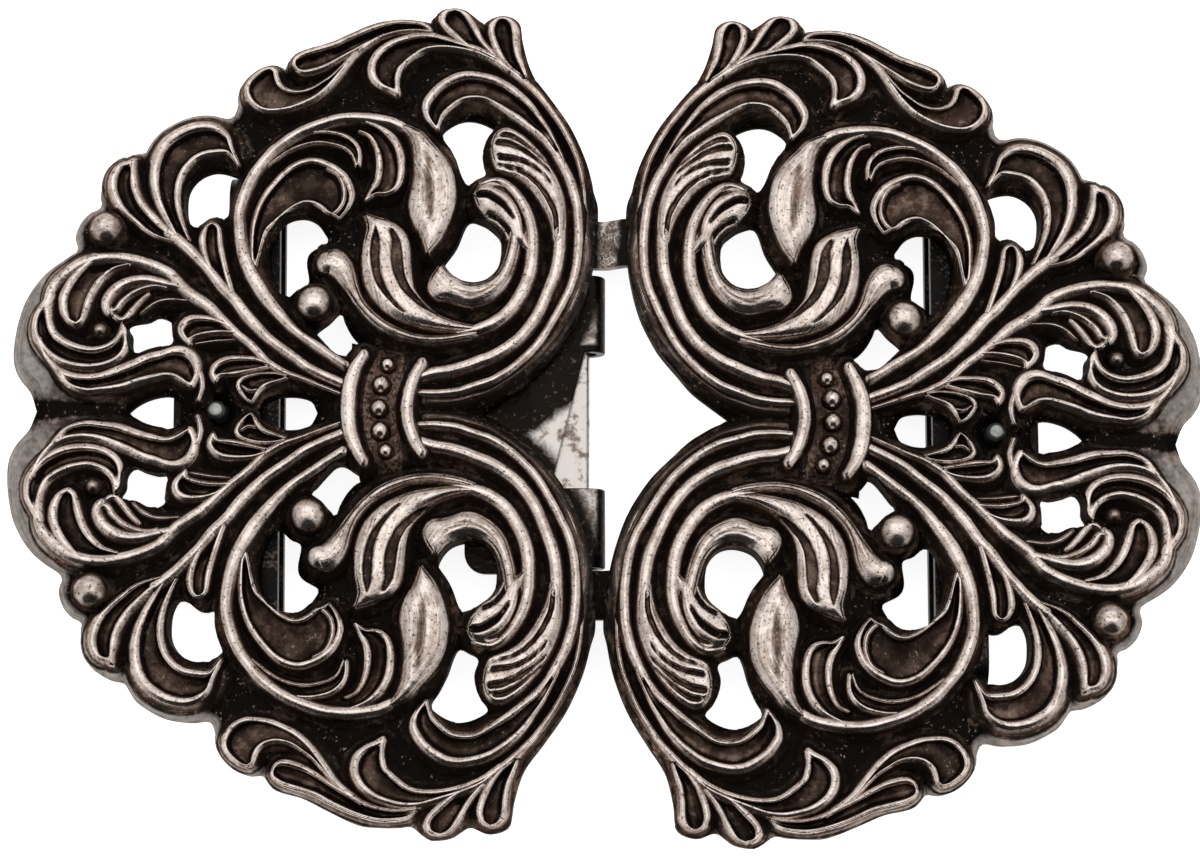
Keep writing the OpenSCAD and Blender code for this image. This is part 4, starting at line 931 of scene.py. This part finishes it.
class Grid:  # columns of places side by side, from the first rim's foot to the second's
    def __init__(self, high, ahead, shine, isFace):
        self.high = high
        self.ahead = ahead  # how far each place of a column lies out on the end flanks
        self.shine = shine
        self.isFace = isFace
        self.places, self.paint, self.crests = [], [], []

    def addColumn(self, places, height, silver, brown, crestLine=None):
        height, silver, brown = (value * np.ones(len(places)) for value in (height, silver, brown))
        self.places.append(np.c_[places, np.where(height < -0.5, -relief["root"], height * self.high)])
        self.paint.append(np.c_[silver, brown, np.zeros(len(places))])
        self.crests.append(places if crestLine is None else crestLine)

    def addFlank(self, rim, beyonds):
        # thin wires have narrow flanks
        slim = 1 if self.isFace else np.clip(0.5 + 2.4 * rim["wide"], 0.55, 1)
        for beyond in beyonds:
            far = np.hypot(beyond, self.ahead)
            places = rim["line"] + rim["out"] * (rim["wide"] + beyond * slim)[:, None]
            self.addColumn(places, onFlank("height", far), onFlank("silver", far) * self.shine,
                           onFlank("brown", far), rim["crest"])

    def addCrest(self, rim, sections):
        for share, height in sections:
            places = rim["line"] + rim["out"] * (share * rim["wide"])[:, None]
            self.addColumn(places, height, self.shine, 0.3 * (1 - self.shine))

    def addFace(self, first, second, dome):
        run = second["line"] - first["line"]
        gap = np.linalg.norm(run, axis=1)
        inner = max(8, int(gap.max() / relief["faceColumns"]))
        full = np.clip(gap / relief["fullDome"], 0, 1) * np.clip(1 - self.ahead / 0.3, 0, 1)
        for k in range(1, inner):
            t = k / inner
            rise = (1 - flank["height"][0] + dome * full) * math.sin(math.pi * t) ** 0.7 * (self.ahead == 0)
            self.addColumn(first["line"] + run * t, onFlank("height", self.ahead) + rise,
                           onFlank("silver", self.ahead) * self.shine, onFlank("brown", self.ahead),
                           first["crest"] + (second["crest"] - first["crest"]) * t)

    def addTrough(self, first, second):
        gap = np.linalg.norm(second["line"] - first["line"], axis=1)
        deep = eased((gap - first["wide"] - second["wide"]) / relief["fullTrough"])
        # the outer rim's steep wall carries the painted shadow
        for start, end, wall in ((first, second, steepShadowWall), (second, first, slowWall)):
            columns = []
            for order, (reach, *section) in enumerate(wall):
                # never past the middle, and always a little further than the last
                far = np.minimum(start["wide"] + reach, gap * 0.47 * (order + 1) / (len(wall) + 1))
                share = (far / np.maximum(gap, 1e-6))[:, None]
                columns.append((start["line"] + (end["line"] - start["line"]) * share, section))
            if start is first:
                columns.append(((first["line"] + second["line"]) / 2, trough))
            else:
                columns.reverse()
            for places, (height, silver, brown) in columns:
                self.addColumn(places, 1 - (1 - height) * deep, 1 - (1 - silver) * deep, brown * deep)


def cutStripes(places, paint, stripes):
    for row, wide, depth, brown, *soft in stripes:
        line = drawnLine(row) * clasp["stretch"]
        half = evenly(wide, len(line))[:, 0]
        away = np.linalg.norm(places[:, :, :2].reshape(-1, 2)[:, None] - line[None], axis=2)
        near = (away - half[None]).min(axis=1).reshape(places.shape[:2])
        cut = eased(0.5 - near / (soft or [relief["stripeEdge"]])[0])
        places[:, :, 2] -= cut * depth
        paint[:, :, 0] *= 1 - cut * min(1, 0.3 + depth * 2)
        paint[:, :, 1] = np.maximum(paint[:, :, 1], cut * brown)


def roundEnds(rims, side):
    # a rim ends in rows on the spot whose flanks turn to the tip
    cap = relief["capRows"]
    for rim, way in zip(rims, (side, -side)):
        turn = np.linspace(1, 0, cap, endpoint=False) * way * math.pi / 2
        rim["out"] = np.concatenate([rim["out"][0] + turn, rim["out"], rim["out"][-1] - turn[::-1]])
        rim["line"] = rim["crest"] = padded(rim["line"], cap)
    return cap, np.zeros(len(rims[0]["line"]))


def faceEnds(rims):
    # a face ends in a flank straight ahead
    steps = flank["beyond"][1:]
    ends = []
    for end, way in ((0, -1), (-1, 1)):
        run = (rims[1]["line"] - rims[0]["line"])[end]
        straight = way * (turned(rims[0]["angle"][end]) + turned(rims[1]["angle"][end]))
        facing = np.array([-run[1], run[0]]) if np.linalg.norm(run) > 0.1 else straight
        facing = facing * np.sign((facing * straight).sum()) / np.linalg.norm(facing)
        ends.append(steps[:, None] * facing)
    for rim in rims:
        rim["crest"] = padded(rim["line"], len(steps))
        rim["line"] = np.concatenate([rim["line"][0] + ends[0][::-1], rim["line"], rim["line"][-1] + ends[1]])
        rim["out"] = padded(rim["out"], len(steps))
    return len(steps), np.concatenate([steps[::-1], np.zeros(len(rims[0]["angle"])), steps])


def layGrain(places, first):
    # how far each place lies along and across its rib, and a number of the rib's own
    across = np.cumsum(np.linalg.norm(np.diff(places, axis=0, prepend=places[:1]), axis=2), axis=0)
    middle = places[len(places) // 2]
    along = np.cumsum(np.linalg.norm(np.diff(middle[:, :2], axis=0, prepend=middle[:1, :2]), axis=1))
    own = np.full(across.shape, 5 * first[0] + 3 * first[1])
    return np.stack([np.broadcast_to(along, across.shape), across, own], axis=-1)


def layRelief(name, first, firstWide, second=None, secondWide=None, high=relief["leafHigh"], shine=1.0,
              stripes=None, dome=relief["dome"], stipple=0):
    # a grid between two rims, with a flank outside each; one row alone makes a plain rib
    count = max(len(drawnLine(row)) for row in (first, second or first))
    rims = [rimOf(first, firstWide, count), rimOf(second or first, secondWide or firstWide, count)]
    side = 1.0
    if second is not None:
        across = rims[0]["line"] - rims[1]["line"]
        widest = np.linalg.norm(across, axis=1).argmax()
        side = np.sign((across[widest] * turned(rims[0]["angle"][widest] + math.pi / 2)).sum())
    for rim, way in zip(rims, (side, -side)):
        rim["out"] = rim["angle"] + way * math.pi / 2
    cap, ahead = roundEnds(rims, side) if stripes is None else faceEnds(rims)
    for rim in rims:
        rim["out"] = turned(rim["out"])
        rim["wide"] = padded(rim["wide"], cap)

    grid = Grid(padded(evenly(high, count)[:, 0], cap), ahead, shine, stripes is not None)
    grid.addFlank(rims[0], flank["beyond"][::-1])
    if second is None:
        grid.addCrest(rims[0], crest + [(-share, height) for share, height in crest[1::-1]])
    elif stripes is not None:
        grid.addFace(*rims, dome)
    else:
        grid.addCrest(rims[0], crest)
        grid.addTrough(*rims)
        grid.addCrest(rims[1], crest[::-1])
    grid.addFlank(rims[1], flank["beyond"])

    places, paint = np.array(grid.places), np.array(grid.paint)
    cutStripes(places, paint, stripes or [])
    grain = layGrain(places, first[0])
    places[:, :, 2] += clasp["webZ"]
    flat, moved = keepOnWeb(places[:, :, :2].reshape(-1, 2), np.array(grid.crests).reshape(-1, 2))
    places[:, :, :2] = flat.reshape(places.shape[:2] + (2,))
    paint[:, :, 0] *= np.where(moved, relief["wallSilver"], 1).reshape(paint.shape[:2])

    columns, rows = paint.shape[:2]
    bpy.ops.mesh.primitive_grid_add(x_subdivisions=rows - 1, y_subdivisions=columns - 1, size=1)
    piece = bpy.context.object
    piece.name = name
    setPlaces(piece, places)
    setFinish(piece, paint.reshape(-1, 3), grain, stipple)
    bpy.ops.object.mode_set(mode="EDIT")
    mergeDoubles(relief["merge"])
    bpy.ops.object.mode_set(mode="OBJECT")
    # an open sheet can be turned either way: its crest must look up
    if sum(face.normal.z * face.area for face in piece.data.polygons) < 0:
        piece.data.flip_normals()
    return piece


def layBead(name, x, y, radius, high, skirt=1.28, rim=0.2):
    bpy.ops.mesh.primitive_uv_sphere_add(segments=28, ring_count=18, radius=radius, location=(0, 0, 0))
    piece = bpy.context.object
    piece.name = name
    places = placesOf(piece)
    foot = high * relief["beadMiddle"]
    up = places[:, 2] / radius
    places[:, 2] = up * (high - foot) + foot
    # the lower half is a skirt that goes down into the web
    low = up < 0
    ring = places[low, :2] / np.maximum(np.linalg.norm(places[low, :2], axis=1), 1e-6)[:, None]
    places[low, :2] = ring * (radius * (1 + (skirt - 1) * np.clip(-up[low] * 1.6, 0, 1)))[:, None]
    places[low, 2] = foot + up[low] * (foot + relief["root"])
    middle = np.array([x, y]) * clasp["stretch"]
    places += (*middle, clasp["webZ"])
    places[:, :2] = keepOnWeb(places[:, :2], np.repeat([middle], len(places), axis=0))[0]
    setPlaces(piece, places)
    silver = np.clip((up - rim) / 0.72, 0, 1)
    brown = np.clip(0.9 - (up - rim) * 1.5, 0, 0.6)
    setFinish(piece, np.stack([silver, brown, silver * 0], axis=1), places * (1, 0.2, 1))
    return piece


def makeQuarter():
    parts = []
    for name, (outer, outerWide, inner, innerWide) in leaves.items():
        parts.append(layRelief(name, outer, outerWide, inner, innerWide))
    for name, (row, wide, high, shine) in ribs.items():
        parts.append(layRelief(name, row, wide, high=high, shine=shine))
    for name, (first, second, high, stripes) in faces.items():
        parts.append(layRelief(name, first, (0, 0), second, (0, 0), high, relief["faceShine"], stripes))
    for n, (x, y, radius) in enumerate(beads):
        rim = 0.2 if radius > 0.9 else 0.45
        parts.append(layBead("bead%d" % n, x, y, radius, relief["beadHigh"] + radius, rim=rim))
    quarter = joinAll("quarter", parts)
    greyEdges(quarter)
    return quarter


def mirrorCopy(piece):
    # the lower quarter is the upper one turned over the midline
    copy = copyOf(piece, "mirrored")
    copy.data.transform(Matrix.Scale(-1, 4, (0, 1, 0)))
    copy.data.flip_normals()
    return copy


collar = {
    # the bed is one broad low face, stippled brown: its two edges, its height and its stripe
    "bed": ([(-1.9, 3.15), (-1.65, 1.6), (-1.55, 0), (-1.65, -1.6), (-1.9, -3.15)],
            [(0.95, 3.25), (1.3, 1.6), (1.4, 0), (1.3, -1.6), (0.95, -3.25)], 0.62,
            [([(-0.3, 3.2), (-0.1, 0), (-0.3, -3.2)], (1.3, 1.35, 1.3), 0.1, 1)]),
    # a row, its half widths and its height
    "rims": [
        ([(-2.85, 2.75), (-2.45, 2.15), (-2.15, 1.5), (-1.93, 0.75), (-1.85, 0), (-1.92, -0.75),
          (-2.1, -1.5), (-2.35, -2.15), (-2.75, -2.85)], (0.2, 0.26, 0.27, 0.26, 0.2), 1.5),
        ([(0.8, 3.35), (1.2, 2.65), (1.58, 1.8), (1.78, 1), (1.86, 0), (1.82, -1), (1.68, -1.8),
          (1.4, -2.6), (0.95, -3.35)], (0.2, 0.32, 0.36, 0.34, 0.2), 1.5),
    ],
    # x, y and radius
    "beads": [(-0.55, 2.6, 0.56), (-0.17, 1.35, 0.68), (-0.05, -0.05, 0.66), (-0.17, -1.5, 0.68),
              (-0.55, -2.75, 0.56)],
}


def makeCollar():
    first, second, high, stripes = collar["bed"]
    parts = [layRelief("bed", first, (0, 0), second, (0, 0), high, 0.1, stripes, dome=0, stipple=1)]
    for n, (row, wide, high) in enumerate(collar["rims"]):
        parts.append(layRelief("rim%d" % n, row, wide, high=high))
    for n, (x, y, radius) in enumerate(collar["beads"]):
        parts.append(layBead("collarBead%d" % n, x, y, radius, 1.0 + radius * 0.75, 1.05, -0.15))
    return joinAll("collar", parts)


def putInClasp(piece, at, turn):
    # from the casting's own drawing to its place in the clasp, in metres
    place = (Matrix.Translation((clasp["shift"][0] + at[0], clasp["shift"][1] + at[1], 0))
             @ Matrix.Rotation(math.radians(turn), 4, "Z"))
    piece.data.transform(Matrix.Scale(0.001, 4) @ place)


def finishPiece(piece, node, slot):
    piece.data.materials.clear()
    piece.data.materials.append(materials.get(slot) or materials[node])
    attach(piece, "root")
    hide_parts(node)


upper = makeQuarter()
drawn = {"base": joinAll("base", [makeWeb(), makeCollar()]), "upper": upper, "lower": mirrorCopy(upper)}
castings = {
    "right_casting": (clasp["rightAt"], -clasp["rightTurn"],
                      {"base": "web", "upper": "upper_scrolls", "lower": "lower_scrolls"}),
    # turned round, so the quarter drawn above lies below
    "left_casting": (clasp["leftAt"], 180 - clasp["leftTurn"],
                     {"base": "web", "upper": "lower_scrolls", "lower": "upper_scrolls"}),
}
for key, source in drawn.items():
    selectOnly(source)
    bpy.ops.object.shade_smooth()
    for face in source.data.polygons:
        # the long triangles of the ground and the back stay flat
        face.use_smooth = len(face.vertices) > 3 or abs(face.normal.z) < 0.9999
    print(key + ":", sum(len(face.vertices) - 2 for face in source.data.polygons), "triangles")
    for node, (at, turn, names) in castings.items():
        piece = copyOf(source, node + "_" + names[key])
        putInClasp(piece, at, turn)
        finishPiece(piece, node, "oxidised_silver")
    bpy.data.objects.remove(source)
print("castings placed")

# Sheet pieces, band loops and rivets, from the frame's own solids with rounded edges

hardware = {
    # slot and edge radius in millimetres
    "hook_plate": ("sheet_silver", 0.14), "catch_frame": ("sheet_silver", 0.14),
    "left_belt_loop": ("dark_strip", 0.12), "right_belt_loop": ("dark_strip", 0.12),
    "left_rivet": ("rivet_silver", 0.12), "right_rivet": ("rivet_silver", 0.12),
}
rivetHead = {"from": 4.75, "worn": 0.62}  # only a small worn dot of a rivet shows on the face


def roundEdges(node, slot, radius):
    piece = copyOf(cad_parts[node], node + "_rounded")
    piece.parent = None
    piece.hide_render = False
    selectOnly(piece)
    bpy.ops.object.mode_set(mode="EDIT")
    mergeDoubles(0.00001, outward=False)
    bpy.ops.mesh.dissolve_limited(angle_limit=math.radians(1))
    bpy.ops.object.mode_set(mode="OBJECT")
    if slot == "rivet_silver":
        places = placesOf(piece)
        top = places[:, 2] > rivetHead["from"] * 0.001
        middle = places[:, :2].mean(axis=0)
        places[top, :2] = middle + (places[top, :2] - middle) * rivetHead["worn"]
        setPlaces(piece, places)
    bpy.ops.object.shade_smooth()
    bevel = piece.modifiers.new("edges", "BEVEL")
    bevel.width = radius * 0.001
    bevel.segments = 3
    bevel.limit_method = "ANGLE"
    bevel.angle_limit = math.radians(35)
    bpy.ops.object.modifier_apply(modifier="edges")
    # flat faces stay flat up to their rounded edges
    flats = piece.modifiers.new("flats", "WEIGHTED_NORMAL")
    flats.weight = 100
    bpy.ops.object.modifier_apply(modifier="flats")
    finishPiece(piece, node, slot)


for node, (slot, radius) in hardware.items():
    roundEdges(node, slot, radius)
print("hardware done")

# Camera, floor and light

view = {
    "elevation": 79.0, "lens": 73.9,
    "away": 0.160, "height": 0.005,  # metres from the target, and the target's own height
    "aside": -0.097,  # millimetres from the clasp's middle
}
light = {
    "overhead": 2.2, "overheadAt": (0.0, 0.25, 0.8), "overheadSize": (1.1, 0.9),
    # strength of the tent and of its dark opening, the opening's direction and the cosines at its edge
    "tent": 0.85, "opening": 0.03, "towards": (0, -0.87, 0.5), "wide": (0.69, 0.82),
    "paper": 0.85, "paperColour": (0.97, 0.97, 0.97, 1), "skyColour": (0.97, 0.985, 1, 1),
}


def setUp(thing, place, direction):
    bpy.context.collection.objects.link(thing)
    thing.location = place
    thing.rotation_euler = direction.to_track_quat("-Z", "Y").to_euler()


camera = bpy.data.objects.new("camera", bpy.data.cameras.new("camera"))
camera.data.lens = view["lens"]
camera.data.sensor_width = 36
camera.data.clip_start = 0.01
camera.data.clip_end = 10
target = Vector(((clasp["shift"][0] + view["aside"]) * 0.001, clasp["shift"][1] * 0.001, view["height"]))
tilt = math.radians(view["elevation"])
back = Vector((0, -math.cos(tilt), math.sin(tilt)))
setUp(camera, target + back * view["away"], -back)
bpy.context.scene.camera = camera

bpy.ops.mesh.primitive_plane_add(size=3, location=(0, 0, -0.0001))
floor = bpy.context.object
floor.name = "floor"
floor.data.materials.append(newShader("paper").finish({
    "Base Color": light["paperColour"], "Roughness": 0.9, "Metallic": 0.0,
    "Emission Color": (1, 1, 1, 1), "Emission Strength": light["paper"]}))

overhead = bpy.data.objects.new("overhead", bpy.data.lights.new("overhead", "AREA"))
overhead.data.shape = "RECTANGLE"
overhead.data.size, overhead.data.size_y = light["overheadSize"]
overhead.data.energy = light["overhead"]
setUp(overhead, light["overheadAt"], -Vector(light["overheadAt"]))

# a bright tent all round, with one dark opening low at the front for the camera
world = bpy.data.worlds.new("studio")
sky = Shader(world, "Generated")
facing = sky.add("ShaderNodeVectorMath", {"operation": "DOT_PRODUCT"},
                 {0: sky.coord, 1: light["towards"]}, "Value")
strength = facing.between(*light["wide"]) * (light["opening"] - light["tent"]) + light["tent"]
sky.finish({"Color": light["skyColour"], "Strength": strength}, "Background")
bpy.context.scene.world = world
bpy.context.scene.view_settings.view_transform = "Standard"
print("camera and light set")
